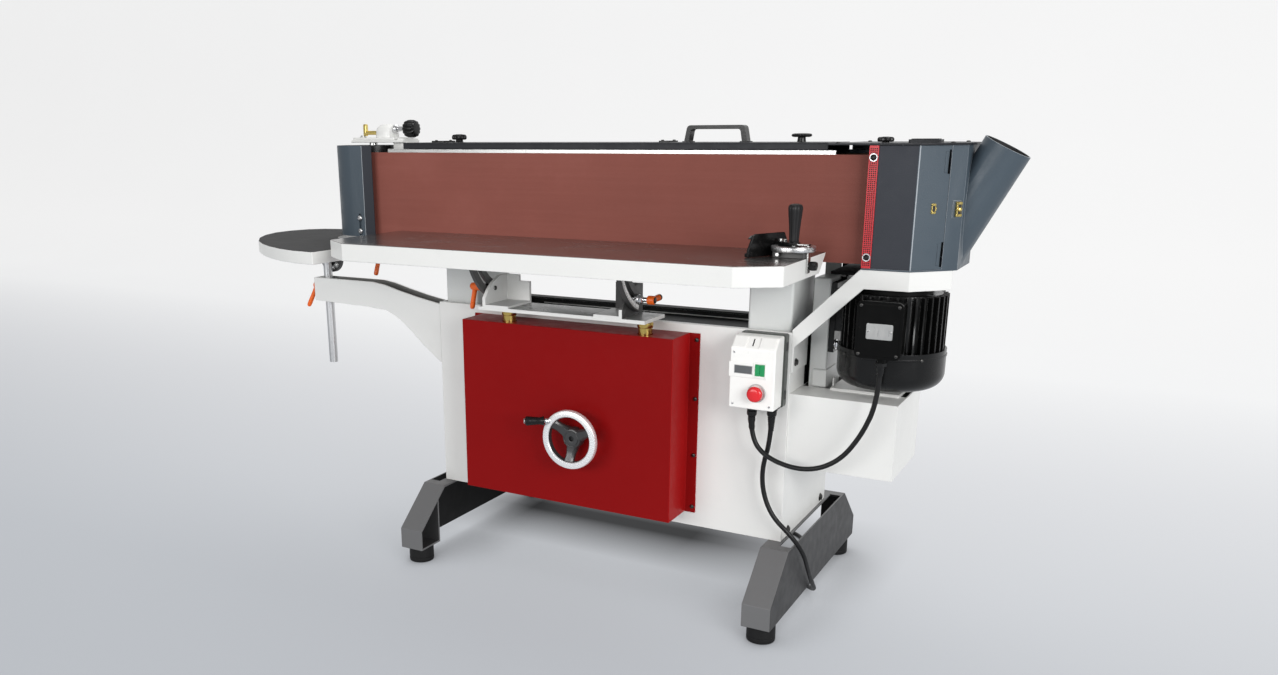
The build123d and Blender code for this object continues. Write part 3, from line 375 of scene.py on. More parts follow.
def skin(node, mats, pick=None, bevel=0.0, bseg=2, name=None, angle=32.0, drop=None, bmat=-1, blimit=40.0):
    """The CAD node's own shape as a clean mesh, with a finish for each face."""
    bm = bmesh.new()
    bm.from_mesh(frame["nodes"][node].data)
    bmesh.ops.remove_doubles(bm, verts=bm.verts, dist=2e-5)
    bmesh.ops.dissolve_limit(bm, angle_limit=math.radians(0.4), verts=bm.verts, edges=bm.edges)
    for v in bm.verts:
        v.co = Vector((v.co.x * 1000.0 - DX, v.co.y * 1000.0 - DY, v.co.z * 1000.0))
    bm.normal_update()
    if drop:
        bmesh.ops.delete(bm, geom=[f for f in bm.faces if drop(f.calc_center_median(), f.normal)], context="FACES")
    for f in bm.faces:
        f.material_index = pick(f.calc_center_median(), f.normal) if pick else 0
    return to_obj(bm, name or node + "_skin", mats, BODY_OF[node], (node,), angle, bevel, bseg, blimit, recalc=False, bmat=bmat)


def axes(d):
    w = Vector(d).normalized()
    u = Vector((0, 0, 1)) if abs(w.z) < 0.9 else Vector((1, 0, 0))
    u = (u - w * u.dot(w)).normalized()
    return u, w.cross(u), w


def face(bm, vs, mi=0):
    f = bm.faces.new(vs)
    f.material_index = mi
    return f


def slab(bm, c, U, W, H, mi=0):
    """A block about c with three half edges."""
    c, U, W, H = Vector(c), Vector(U), Vector(W), Vector(H)
    v = [bm.verts.new(c + U * a + W * b + H * d) for a in (-1, 1) for b in (-1, 1) for d in (-1, 1)]
    for q in ((0, 1, 3, 2), (4, 6, 7, 5), (0, 4, 5, 1), (2, 3, 7, 6), (0, 2, 6, 4), (1, 5, 7, 3)):
        face(bm, [v[i] for i in q], mi)


def box(bm, x0, x1, y0, y1, z0, z1, mi=0):
    slab(bm, ((x0 + x1) / 2, (y0 + y1) / 2, (z0 + z1) / 2), ((x1 - x0) / 2, 0, 0), (0, (y1 - y0) / 2, 0), (0, 0, (z1 - z0) / 2), mi)


def prism(bm, pts, ax, a, b, mi=0, cap=None):
    def at(u, v, t):
        return {"x": (t, u, v), "y": (u, t, v), "z": (u, v, t)}[ax]
    lo = [bm.verts.new(at(u, v, a)) for u, v in pts]
    hi = [bm.verts.new(at(u, v, b)) for u, v in pts]
    n = len(pts)
    for i in range(n):
        face(bm, (lo[i], lo[(i + 1) % n], hi[(i + 1) % n], hi[i]), mi)
    for ring in (lo, hi):
        face(bm, ring, mi if cap is None else cap)
    return lo, hi


def lathe(bm, prof, o, d, seg=40, lobes=None, mi=0, turn=0.0):
    """A turned shape: (radius, height[, finish]) along d from o; lobes gives a fluted or lobed outline."""
    u, v, w = axes(d)
    o = Vector(o)
    prev = None
    for e in prof:
        r, h = e[0], e[1]
        m = e[2] if len(e) > 2 else mi
        if r < 1e-6:
            ring = [bm.verts.new(o + w * h)]
        else:
            ring = []
            for j in range(seg):
                a = 2 * math.pi * j / seg + turn
                s = lobes(a) if lobes else 1.0
                ring.append(bm.verts.new(o + w * h + (u * math.cos(a) + v * math.sin(a)) * r * s))
        if prev:
            if len(prev) == 1 and len(ring) > 1:
                for j in range(seg):
                    face(bm, (prev[0], ring[j], ring[(j + 1) % seg]), m)
            elif len(ring) == 1 and len(prev) > 1:
                for j in range(seg):
                    face(bm, (prev[(j + 1) % seg], prev[j], ring[0]), m)
            elif len(ring) > 1:
                for j in range(seg):
                    face(bm, (prev[j], prev[(j + 1) % seg], ring[(j + 1) % seg], ring[j]), m)
        prev = ring


def arc(cx, cy, r, a0, a1, n):
    return [(cx + r * math.cos(math.radians(a0 + (a1 - a0) * i / n)), cy + r * math.sin(math.radians(a0 + (a1 - a0) * i / n))) for i in range(n + 1)]


def soften(pts, r, n=4):
    """A polygon with rounded corners; r is one radius or one for each corner."""
    out = []
    m = len(pts)
    for i, p in enumerate(pts):
        a, b, c = Vector(pts[i - 1]), Vector(p), Vector(pts[(i + 1) % m])
        u, v = a - b, c - b
        rr = r[i] if isinstance(r, (list, tuple)) else r
        if rr <= 0:
            out.append((b.x, b.y))
            continue
        t = min(rr / math.tan(u.angle(v) / 2), 0.48 * u.length, 0.48 * v.length)
        p0, p1 = b + u.normalized() * t, b + v.normalized() * t
        for j in range(n + 1):
            s = j / n
            q = p0 * (1 - s) ** 2 + b * (2 * s * (1 - s)) + p1 * s * s
            out.append((q.x, q.y))
    return out


def pan(bm, o, d, r, h, mi=0, dark=1):
    """Pan-head screw with a cross recess, drawn as a dark slab on the head: painted shade."""
    lathe(bm, [(0, h), (r * 0.5, h * 0.97), (r * 0.82, h * 0.78), (r * 0.98, h * 0.40), (r, 0)], o, d, 20, mi=mi)
    u, v, w = axes(d)
    for a, b in ((u, v), (v, u)):
        slab(bm, Vector(o) + w * (h * 0.96), a * r * 0.50, b * r * 0.11, w * h * 0.06, dark)


def button(bm, o, d, r, h, mi=0, dark=1):
    """Button-head screw with a socket; the socket takes the dark finish: painted shade."""
    lathe(bm, [(0, h * 0.35, dark), (r * 0.36, h * 0.35, dark), (r * 0.40, h * 0.95, dark), (r * 0.55, h, mi), (r * 0.82, h * 0.8, mi),
               (r * 0.97, h * 0.4, mi), (r, 0, mi)], o, d, 24)


def hexhead(bm, o, d, r, h, mi=0, wash=0.0):
    if wash:
        lathe(bm, [(0, wash), (r * 1.28, wash), (r * 1.34, wash * 0.5), (r * 1.34, 0)], o, d, 28, mi=mi)
    lathe(bm, [(0, h), (r * 0.55, h), (r * 0.80, h * 0.96), (r, h * 0.80), (r, wash * 0.9)], o, d, 6, mi=mi)


def handle(bm, a, b, r0, r1, mi=0, bow=None, tip=None):
    """Tapered lever arm with a rounded end, slightly bowed."""
    a, b = Vector(a), Vector(b)
    ts = [0, .08, .18, .30, .45, .60, .74, .85, .92, .965, .99, 1.0]
    ks = [1.08, 1.0, .93, .90, .92, .97, 1.02, 1.03, .98, .84, .62, .25]
    bw = Vector(bow) if bow else Vector((0, 0, 0))
    pts = [a + (b - a) * t + bw * math.sin(math.pi * t) for t in ts]
    rs = [(r0 + (r1 - r0) * t) * q for t, q in zip(ts, ks)]
    n = len(ts) if tip is None else 7
    tube(bm, pts[:n], rs[:n], 16, mi)
    if tip is not None:
        tube(bm, pts[n - 1:], rs[n - 1:], 16, tip)


def clamp_lever(bm, o, d, ln, r, b, r0, r1, mi=0, btn=1, at=0.6, bow=None, tip=None):
    """Adjustable clamp lever: moulded hub along d from o, button in its end, arm to b."""
    u, v, w = axes(d)
    lathe(bm, [(0, 0), (r * 0.84, 0), (r * 0.97, 1.2), (r, ln * 0.35), (r * 0.98, ln * 0.72), (r * 0.90, ln - 3.2), (r * 0.72, ln - 2.0),
               (r * 0.66, ln - 2.4, btn), (r * 0.60, ln - 0.5, btn), (0, ln, btn)], o, d, 28, mi=mi)
    handle(bm, Vector(o) + w * ln * at, b, r0, r1, mi, bow, tip)


def flutes(n, depth):
    return lambda a: 1.0 - depth * (0.5 - 0.5 * math.cos(n * a)) ** 2


def star_knob(bm, o, d, r, h, lobes=6, mi=0, btn=1, neck=0.0):
    shape = lambda a: 0.86 + 0.14 * math.cos(lobes * a)
    if neck:
        lathe(bm, [(0, 0), (r * 0.44, 0), (r * 0.42, neck)], o, d, 28, mi=mi)
    lathe(bm, [(0, neck), (r * 0.80, neck), (r * 0.95, neck + h * 0.10), (r, neck + h * 0.35), (r * 0.97, neck + h * 0.68), (r * 0.84, neck + h * 0.9),
               (r * 0.62, neck + h * 0.95)], o, d, 72, shape, mi)
    lathe(bm, [(r * 0.66, neck + h * 0.90), (r * 0.46, neck + h * 0.97), (r * 0.42, neck + h * 0.90, btn), (r * 0.36, neck + h, btn), (0, neck + h, btn)], o, d, 36, mi=mi)


def piece(bm, name, mats, node, bevel=0.0, bseg=2, angle=32.0, blimit=40.0, bmat=-1):
    """A finished piece that takes the place of one CAD node."""
    return to_obj(bm, name, mats, BODY_OF[node], (node,), angle, bevel, bseg, blimit, bmat=bmat)


def trim(bm, name, mats, body, bevel=0.0, bseg=2, angle=32.0, blimit=40.0):
    """A small extra piece on a body."""
    return to_obj(bm, name, mats, body, (), angle, bevel, bseg, blimit)


# ------------------------------------------------------------------ cords
def nurbs(name, pts, r):
    cu = bpy.data.curves.new(name, "CURVE")
    cu.dimensions = "3D"
    sp = cu.splines.new("NURBS")
    sp.points.add(len(pts) - 1)
    for p, q in zip(sp.points, pts):
        v = V(*q)
        p.co = (v.x, v.y, v.z, 1.0)
    sp.order_u = 3
    sp.use_endpoint_u = True
    sp.resolution_u = 10
    if r:
        cu.bevel_depth = r / 1000.0
        cu.bevel_resolution = 6
        cu.use_fill_caps = True
    if r:
        cu.materials.append(CABLE)
    o = bpy.data.objects.new(name, cu)
    scene.collection.objects.link(o)
    return o


def line_of(o):
    """The points along a curve with no bevel, in working axes."""
    me = bpy.data.meshes.new_from_object(o.evaluated_get(bpy.context.evaluated_depsgraph_get()))
    pts = [Vector((v.co.x * 1000.0 - DX, v.co.y * 1000.0 - DY, v.co.z * 1000.0)) for v in me.vertices]
    bpy.data.meshes.remove(me)
    return pts


def tube(bm, pts, r, seg=20, mi=0, cap=True):
    """A round tube along points; r is one radius or one for each point."""
    pts = [Vector(p) for p in pts]
    rs = r if isinstance(r, (list, tuple)) else [r] * len(pts)
    n = None
    rings = []
    for i, p in enumerate(pts):
        d = (pts[min(i + 1, len(pts) - 1)] - pts[max(i - 1, 0)]).normalized()
        if n is None:
            n = d.orthogonal().normalized()
        n = (n - d * n.dot(d)).normalized()
        b = d.cross(n)
        rings.append([bm.verts.new(p + (n * math.cos(2 * math.pi * j / seg) + b * math.sin(2 * math.pi * j / seg)) * rs[i]) for j in range(seg)])
    for r0, r1 in zip(rings, rings[1:]):
        for j in range(seg):
            f = bm.faces.new((r0[j], r0[(j + 1) % seg], r1[(j + 1) % seg], r1[j]))
            f.material_index = mi
    if cap:
        for ring in (rings[0], rings[-1]):
            f = bm.faces.new(ring)
            f.material_index = mi
    return rings


CORD_R = 5.0
MOTOR_PTS = [(377, -181, 458), (377, -181, 412), (414, -181, 372), (492, -178, 356), (557, -175, 384),
             (600, -173, 448), (624, -172, 520), (624, -172, 588)]
route = nurbs("motor_route", MOTOR_PTS, 0.0)
bpy.context.view_layer.update()
motor_line = line_of(route)
bpy.data.objects.remove(route)
bm = bmesh.new()
tube(bm, motor_line, CORD_R, 20)
bmesh.ops.recalc_face_normals(bm, faces=bm.faces)
for v in bm.verts:
    v.co = V(*v.co)
me = bpy.data.meshes.new("motor_cord")
bm.to_mesh(me)
bm.free()
for p in me.polygons:
    p.use_smooth = True
me.set_sharp_from_angle(angle=math.radians(50))
me.materials.append(CABLE)
lead = bpy.data.objects.new("motor_cord", me)
scene.collection.objects.link(lead)
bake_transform(lead)
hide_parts("motor_lead")

COIL = (204.0, 436.0)
mains_pts = [(414, -166, 458), (414, -166, 408), (398, -163, 345), (402, -161, 290), (424, -160, 241),
             (466, -158, 206), (490, -138, 163), (488, -92, 108), (485, -44, 58), (480, 0, 24),
             (448, 44, 9), (404, 90, 6), (386, 146, 5.6), (382, 220, 5.4), (366, 300, 5.2), (336, 350, 5.2), (290, 372, 5.2), (250, 374.5, 5.2)]
turns = [(61.0, 5.2), (51.0, 5.2), (51.0, 15.0), (61.0, 15.0)]
N = 16
for t, (r, z) in enumerate(turns):
    for i in range(N):
        a = math.radians(-90.0 - 360.0 * i / N)
        f = i / N
        r1, z1 = turns[min(t + 1, 3)]
        w = max(0.0, (f - 0.75) / 0.25)
        rr, zz = r + (r1 - r) * w, z + (z1 - z) * w
        rr *= 1.0 / math.cos(math.pi / N) ** 0.5
        mains_pts.append((COIL[0] + rr * math.cos(a), COIL[1] + rr * math.sin(a), zz))
mains_pts += [(COIL[0] - 2, COIL[1] - 61.2, 15.0), (COIL[0] - 26, COIL[1] - 61, 15.0), (COIL[0] - 52, COIL[1] - 61, 15.0)]
mains = nurbs("mains_cord", mains_pts, CORD_R)
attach(mains, "frame")
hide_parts("mains_lead", "mains_coil")
PLUG_Y = COIL[1] - 61.0
bm = bmesh.new()
prism(bm, soften([(PLUG_Y - 18, 2), (PLUG_Y + 18, 2), (PLUG_Y + 18, 28), (PLUG_Y - 18, 28)], 8, 5), "x", COIL[0] - 122, COIL[0] - 77)
for i in range(4):
    x = COIL[0] - 112 + i * 8
    prism(bm, soften([(PLUG_Y - 19, 1.2), (PLUG_Y + 19, 1.2), (PLUG_Y + 19, 28.8), (PLUG_Y - 19, 28.8)], 8, 5), "x", x, x + 3.5)
xs = [COIL[0] - 78 + 1.9 * i for i in range(19)]
tube(bm, [(x, PLUG_Y, 15.0) for x in xs], [9.0 - 3.0 * i / 18 + (0.0 if i % 3 else -0.9) for i in range(19)], 20)
for dy in (-7, 7):
    box(bm, COIL[0] - 140.5, COIL[0] - 121, PLUG_Y + dy - 3, PLUG_Y + dy + 3, 14, 16, 1)
plug = piece(bm, "plug", [RUBBER, STEEL], "mains_plug", 0.6)

bm = bmesh.new()
ta = math.radians(200)
er, et = Vector((math.cos(ta), math.sin(ta), 0)), Vector((-math.sin(ta), math.cos(ta), 0))
outer = soften([(44.2, 0.02), (67.8, 0.02), (67.8, 21.7), (44.2, 21.7)], 5, 4)
inner = soften([(45.2, 0.15), (66.8, 0.15), (66.8, 20.7), (45.2, 20.7)], 4.6, 4)
rings = []
for pts, t in ((outer, -4.0), (outer, 4.0), (inner, 4.0), (inner, -4.0)):
    rings.append([bm.verts.new(Vector((COIL[0], COIL[1], z)) + er * r + et * t) for r, z in pts])
for r0, r1 in zip(rings, rings[1:] + rings[:1]):
    for j in range(len(r0)):
        face(bm, (r0[j], r0[(j + 1) % len(r0)], r1[(j + 1) % len(r0)], r1[j]))
slab(bm, Vector((COIL[0], COIL[1], 22.2)) + er * 56, er * 4.5, et * 5.2, (0, 0, 1.6))
trim(bm, "coil_tie", [BLACK], "frame", 0.4)

# glands and flexible tails where the cords leave
bm = bmesh.new()
tail = [p for p in motor_line if p.z > 424.0 and p.x < 400.0]
n = len(tail)
tube(bm, tail, [8.2 - 2.4 * i / (n - 1) + (0.0 if i % 2 else -0.6) for i in range(n)], 20)
trim(bm, "motor_cord_tail", [BLACK], "frame")
bm = bmesh.new()
tail = [p for p in motor_line if p.z > 556.0 and p.x > 600.0]
n = len(tail)
tube(bm, tail, [5.8 + 2.4 * i / (n - 1) + (0.0 if i % 2 else -0.6) for i in range(n)], 20)
hexhead(bm, (624, -172, 586), (0, 0, 1), 11.0, 8.0)
trim(bm, "motor_cord_top_tail", [BLACK], "head")
bm = bmesh.new()
pts = [Vector((414, -166, 458 - 2.2 * i)) for i in range(15)]
tube(bm, pts, [8.2 - 2.6 * i / 14 + (0.0 if i % 2 else -0.6) for i in range(15)], 20)
trim(bm, "mains_cord_tail", [BLACK], "frame")

# ------------------------------------------------------------------ cabinet, legs, covers
# The deck top, the rear flange top and the cabinet's inner walls take the near-black: painted shade on the walls and
# flange, a dark deck plate between them.
def deck_and_shade_pick(c, n):
    inside = abs(c.x) < 433 and -128.5 < c.y < 184
    if n.z > 0.9 and (585 < c.z < 589 or (602 < c.z < 609 and c.y > 150)):
        return 1
    return 1 if inside and c.z > 190 and abs(n.z) < 0.5 and not (n.y < -0.5 and c.y < -100) else 0


skin("cabinet", [CREAM, DECK_AND_SHADE], deck_and_shade_pick, bevel=0.8)
bm = bmesh.new()
tube(bm, [(-330, 182.2, 588.2), (430, 182.2, 588.2)], 1.5, 10)
trim(bm, "deck_seam", [CREAM], "frame")
# Outer side faces and some front faces of the legs take the darker leg paint; inner webs, tops, undersides and the
# channel's inside take the near-black: all painted shade.
def leg_pick(c, n):
    ax = abs(c.x)
    if abs(n.x) > 0.9:
        return 1 if ax > 469.5 else 2 if 464 < ax < 466 else 0
    if n.z > 0.9 and c.z > 188:
        return 2
    if n.z < -0.9 or (n.y > 0.3 and c.y < -120) or (n.y < -0.3 and c.y > 120):
        return 2
    if n.z > 0.9 and c.z < 50:
        return 1 if c.y < 0 else 2
    if n.y < -0.9 and -209 < c.y < -207:
        return 1
    return 0


skin("legs", [LEG, LEG_SHADE_SIDE, LEG_SHADE_INSIDE], leg_pick, bevel=1.6, bseg=3)
bm = bmesh.new()
for fx_ in (-439, 439):
    for fy_ in (-240, 305):
        lathe(bm, [(0, 0), (27, 0), (29.4, 1.2), (30, 3.6), (30, 9), (29.2, 10), (29.2, 11.4), (30, 12.4), (29.8, 30), (29.2, 36), (27.6, 37.7), (0, 37.7)], (fx_, fy_, 0), (0, 0, 1), 48)
piece(bm, "feet", [RUBBER], "rubber_feet")
# the right-hand side faces of the cover take the lighter red: painted light
skin("lift_cover", [RED, RED_LIT_SIDE], lambda c, n: 1 if n.x > 0.9 else 0, bevel=2.0, bseg=3)
bm = bmesh.new()
for zs in (222, 340, 466, 594):
    for xs in (233, -325):
        pan(bm, (xs, -134.5, zs), (0, -1, 0), 4.6, 3.2)
for yy, zz in ((-114, 613), (-114, 564)):
    hexhead(bm, (441, yy, zz), (1, 0, 0), 6.2, 5.2, 0, 1.4)
for yy in (-88, 150):
    hexhead(bm, (436, yy, 191), (1, 0, 0), 7, 5, 0, 1.2)
    hexhead(bm, (-436, yy, 191), (-1, 0, 0), 7, 5, 0, 1.2)
for zz in (600, 500):
    hexhead(bm, (-441, -68, zz), (-1, 0, 0), 7, 5, 0, 1.4)
piece(bm, "fasteners", [DARKST, INK_AND_RECESS_SHADE], "frame_fasteners")
bm = bmesh.new()
pan(bm, (436, -110, 463), (1, 0, 0), 5.0, 2.6)
for xx in (-380, -130, 130, 380):
    for zz in (205, 560):
        pan(bm, (xx, 187, zz), (0, 1, 0), 4.6, 2.6)
trim(bm, "cabinet_screws", [STEEL, INK_AND_RECESS_SHADE], "frame")
# removable panel on the back of the cabinet
bm = bmesh.new()
prism(bm, soften([(-300, 240), (300, 240), (300, 520), (-300, 520)], 14, 5), "y", 187.0, 189.0)
for xx in (-284, 0, 284):
    for zz in (256, 504):
        pan(bm, (xx, 189, zz), (0, 1, 0), 4.6, 2.6, 1, 2)
trim(bm, "rear_panel", [CREAM, STEEL, INK_AND_RECESS_SHADE], "frame", 0.7)

# dark sheet in the slot that the motor bracket passes: painted shade for the deep shadow there
bm = bmesh.new()
for ya, yb, za, zb in ((-31.8, -13.5, 455.5, 604), (37.5, 99.5, 455.5, 604), (-13.5, 37.5, 455.5, 496)):
    box(bm, 432.6, 435.4, ya, yb, za, zb)
trim(bm, "slot_painted_shade", [RUBBER], "frame", 0.4)

skin("hood_arm", [CREAM], bevel=1.0)
# the arm's open trough takes the dark cream: painted shade
skin("contour_arm", [CREAM, CREAM_SHADE_INSIDE], lambda c, n: 1 if -127 < c.y < -88 and -830 < c.x < -437 and n.z > -0.5 and abs(n.y) + abs(n.x) + n.z > 0 and c.z < 652.5 else 0, bevel=1.4, bseg=3)
# the inside of the drive box takes the dark cream: painted shade
skin("drive_box", [CREAM, CREAM_SHADE_INSIDE], lambda c, n: 1 if 438 < c.x < 651 and -125 < c.y < 78 and c.z < 498 and n.z > -0.5 and c.z > 347 else 0, bevel=1.6, bseg=3)
skin("lift_bearings", [IRON], bevel=1.0)
skin("guide_posts", [STEEL])

# ------------------------------------------------------------------ hood
C45 = math.sqrt(0.5)
N45, T45 = Vector((C45, -C45, 0)), Vector((C45, C45, 0))


# Inward-facing faces of the hood and the inside of the pipe take the near-black slate, painted shade; the pipe's end
# face takes the light edge colour, painted highlight with some wear.
def hood_pick(c, n):
    if c.x > 731:
        axis = Vector((math.sin(math.radians(27)), 0, math.cos(math.radians(27))))
        d = c - Vector((784, 4.5, 985.5))
        rad = d - axis * d.dot(axis)
        if abs(n.dot(axis)) > 0.9:
            return 2
        return 1 if n.dot(rad) < 0 else 0
    flat = Vector((c.x - 640.0, c.y - 4.5, 0))
    return 1 if abs(n.z) < 0.5 and n.dot(flat) < -1.0 else 0


# the bevels of the hood shell take the light edge colour: painted highlight along the folds
skin("hood_shell", [SLATE, SLATE_SHADE_INSIDE, EDGE_HIGHLIGHT_AND_WEAR], hood_pick, bevel=1.0, bmat=2, blimit=35.0, angle=40.0)


def door_profile(short):
    e = Vector((701.5, -86.5, 0)) - T45 * short
    w = 3.0
    inner = e - N45 * w
    outer = soften([(564, -133), (655, -133), (e.x, e.y), (inner.x, inner.y), (653.8, -130), (564, -130)], [0, 5, 0, 0, 2, 0], 4)
    return outer


bm = bmesh.new()
levels = [(763.3, 768.0, 0.0), (768.0, 814.0, 5.0), (814.0, 938.0, 0.0), (938.0, 981.0, 5.0), (981.0, 989.2, 0.0)]
prev = None
for z0, z1, cut in levels:
    pts = door_profile(cut)
    lo = [bm.verts.new((x, y, z0)) for x, y in pts]
    hi = [bm.verts.new((x, y, z1)) for x, y in pts]
    n = len(pts)
    # the door's front panel (face 0), its inner faces and its end caps take the darker slate, painted shade; the fold
    # faces 2 and 3 take the light edge colour, painted highlight with some wear
    for i in range(n):
        m = 0
        if i < 1 or i > 7:
            m = 1
        if 2 <= i <= 3:
            m = 2
        face(bm, (lo[i], lo[(i + 1) % n], hi[(i + 1) % n], hi[i]), m)
    if prev is None:
        face(bm, lo, 1)
    else:
        face(bm, (prev[6], prev[7], lo[7], lo[6]), 0)
    prev = hi
face(bm, prev, 1)
bmesh.ops.remove_doubles(bm, verts=bm.verts, dist=1e-3)
for z0, z1 in ((941, 978), (771, 811)):                # tab plates beside the two slits
    c = Vector((697.0, -91.0, (z0 + z1) / 2)) - T45 * 3.4 + N45 * 0.5
    slab(bm, c, T45 * 2.6, N45 * 0.6, (0, 0, (z1 - z0) / 2), 0)
kc = Vector((681.0, -107.0, 876.0))
slab(bm, kc + N45 * 1.0, T45 * 4.2, N45 * 1.0, (0, 0, 9.5), 3)
slab(bm, kc + N45 * 2.2, T45 * 2.2, N45 * 0.5, (0, 0, 5.0), 4)
for dz in (-6.8, 6.8):
    slab(bm, kc + N45 * 2.9 + Vector((0, 0, dz)), T45 * 4.2, N45 * 1.0, (0, 0, 1.7), 3)
slab(bm, kc + N45 * 2.9 + T45 * 3.6, T45 * 1.2, N45 * 1.3, (0, 0, 3.4), 3)
piece(bm, "hood_front", [SLATE, SLATE_SHADED, EDGE_HIGHLIGHT_AND_WEAR, BRASS, INK_AND_RECESS_SHADE], "hood_door", 0.5)

bm = bmesh.new()                                        # perforated strip
x0, x1, z0, z1, yf, yb = 564.2, 581.2, 763.6, 988.9, -135.5, -133.1
cols, pitch = 4, 4.0
rows_n = int((z1 - z0 - 8.0) / (pitch * 0.92))
px_, pz_ = (x1 - x0 - 2.4) / cols, (z1 - z0 - 8.0) / rows_n
for a, b, c, d in ((x0, x0 + 1.2, z0, z1), (x1 - 1.2, x1, z0, z1), (x0 + 1.2, x1 - 1.2, z0, z0 + 4), (x0 + 1.2, x1 - 1.2, z1 - 4, z1)):
    box(bm, a, b, yf, yb, c, d)
for i in range(cols):
    for j in range(rows_n):
        cx_, cz_ = x0 + 1.2 + (i + 0.5) * px_, z0 + 4.0 + (j + 0.5) * pz_
        sq = [(-1, -1), (0, -1), (1, -1), (1, 0), (1, 1), (0, 1), (-1, 1), (-1, 0)]
        out_v = [bm.verts.new((cx_ + a * px_ / 2, yf, cz_ + b * pz_ / 2)) for a, b in sq]
        hr = 1.45
        in_v, bk_v = [], []
        for t in range(8):
            a = math.radians(225 + 45 * t)
            in_v.append(bm.verts.new((cx_ + hr * math.cos(a), yf, cz_ + hr * math.sin(a))))
            bk_v.append(bm.verts.new((cx_ + hr * math.cos(a), yf + 1.3, cz_ + hr * math.sin(a))))
        for t in range(8):
            face(bm, (out_v[t], out_v[(t + 1) % 8], in_v[(t + 1) % 8], in_v[t]))
            face(bm, (in_v[t], in_v[(t + 1) % 8], bk_v[(t + 1) % 8], bk_v[t]))
        # a dark disc closes the back of each hole: painted shade
        face(bm, bk_v, 2)
for zb in (784.0, 967.5):
    lathe(bm, [(0, 1.1), (7.6, 1.1), (8.0, 0.5), (8.0, 0)], (572.7, yf, zb), (0, -1, 0), 28, mi=3)
    button(bm, (572.7, yf - 1.0, zb), (0, -1, 0), 5.6, 3.4, 1, 2)
to_obj(bm, "strip", [STRIP, SATIN, INK_AND_RECESS_SHADE, ALU], BODY_OF["door_strip"], ("door_strip",), recalc=False)

bm = bmesh.new()                                        # draw latch
lc = Vector((717.5, -70.5, 874.0))
slab(bm, lc + N45 * 3.4, T45 * 6.0, N45 * 1.2, (0, 0, 13.6))
slab(bm, lc + N45 * 4.7 + T45 * 1.6, T45 * 3.4, N45 * 0.3, (0, 0, 9.8), 1)
for dz in (-10.8, 0.0, 10.8):
    slab(bm, lc + N45 * 5.6 + Vector((0, 0, dz)), T45 * 5.6, N45 * 1.6, (0, 0, 1.9))
slab(bm, lc + N45 * 5.4 - T45 * 4.6, T45 * 1.4, N45 * 1.8, (0, 0, 12.8))
lathe(bm, [(0, 3.4), (2.2, 3.3), (3.6, 2.4), (4.0, 0)], lc + N45 * 6.2, N45, 20)
piece(bm, "latch", [BRASS, INK_AND_RECESS_SHADE], "hood_latch", 0.4)

bm = bmesh.new()                                        # lid with a folded rim, block and knob
lid_pts = [(484, -137), (657, -137), (731, -64), (731, 73), (657, 146), (484, 146)]
prism(bm, soften(lid_pts, 2.5, 3), "z", 989.5, 993.0)
prism(bm, soften([(623, -92), (680, -92), (680, -52), (623, -52)], 4, 4), "z", 992.8, 999.2)
prism(bm, soften([(627, -88), (676, -88), (676, -56), (627, -56)], 4, 4), "z", 999.0, 1000.5)
for xx, yy in ((500, 120), (500, -118), (700, -72), (700, 84), (600, 130)):
    pan(bm, (xx, yy, 993), (0, 0, 1), 4.2, 2.4, 1, 2)
box(bm, 484.2, 584.0, 44.2, 46.8, 968, 989.7)
piece(bm, "lid", [COVERP, DARKST, INK_AND_RECESS_SHADE], "hood_lid", 0.7)
bm = bmesh.new()
star_knob(bm, (575, -62, 992.8), (0, 0, 1), 16, 9.4, 6, 0, 1, 2.0)
trim(bm, "lid_knob", [BLACK, SATIN], "frame")

# ------------------------------------------------------------------ starter
bm = bmesh.new()
prism(bm, [(-151.6, 477), (-201, 477), (-201, 600), (-180, 623), (-151.6, 623)], "x", 333, 428)
cover = piece(bm, "starter_shell", [WHITE], "starter_cover", 3.0, 4)
bm = bmesh.new()
box(bm, 331.9, 411.5, -202.6, -196, 541.6, 572.2)
box(bm, 331.9, 334.5, -197, -158, 541.6, 572.2)
for a, b, c, d in ((383.6, 386.4, 543.4, 574.6), (407.6, 410.6, 543.4, 574.6), (386.4, 407.6, 543.4, 546.2), (386.4, 407.6, 571.8, 574.6)):
    box(bm, a, b, -203.6, -200.5, c, d)
cd = Vector((0, 21, 23)).normalized()
cn = Vector((0, -23, 21)).normalized()
cc = Vector((0, -190.5, 611.5))
for xa, xb in ((337, 364), (392, 424)):
    slab(bm, cc + Vector(((xa + xb) / 2, 0, 0)) + cn * 0.5, Vector(((xb - xa) / 2, 0, 0)), cd * 12.6, cn * 1.3)
trim(bm, "starter_ribs", [WHITE], "frame", 0.8, 3)
bm = bmesh.new()
slab(bm, cc + Vector((378, 0, 0)) + cn * 0.2, Vector((1.1, 0, 0)), cd * 8.5, cn * 0.35, 1)
box(bm, 344.5, 380.5, -203.4, -202.2, 550.2, 565.4, 0)
box(bm, 343.2, 381.8, -202.9, -202.2, 549.0, 566.6, 2)
lathe(bm, [(16.5, 0), (18.6, 0.4), (19.2, 1.4), (18.6, 2.4), (16.8, 2.4), (16.5, 0)], (392, -201, 512), (0, -1, 0), 44, mi=2)
for xx, zz in ((342, 486), (419, 486), (342, 592)):
    pan(bm, (xx, -201, zz), (0, -1, 0), 2.6, 1.0, 3, 1)
trim(bm, "starter_trim", [GLASS, INK_AND_RECESS_SHADE, PALE_AND_SHADE, ALU], "frame", 0.25)
bm = bmesh.new()
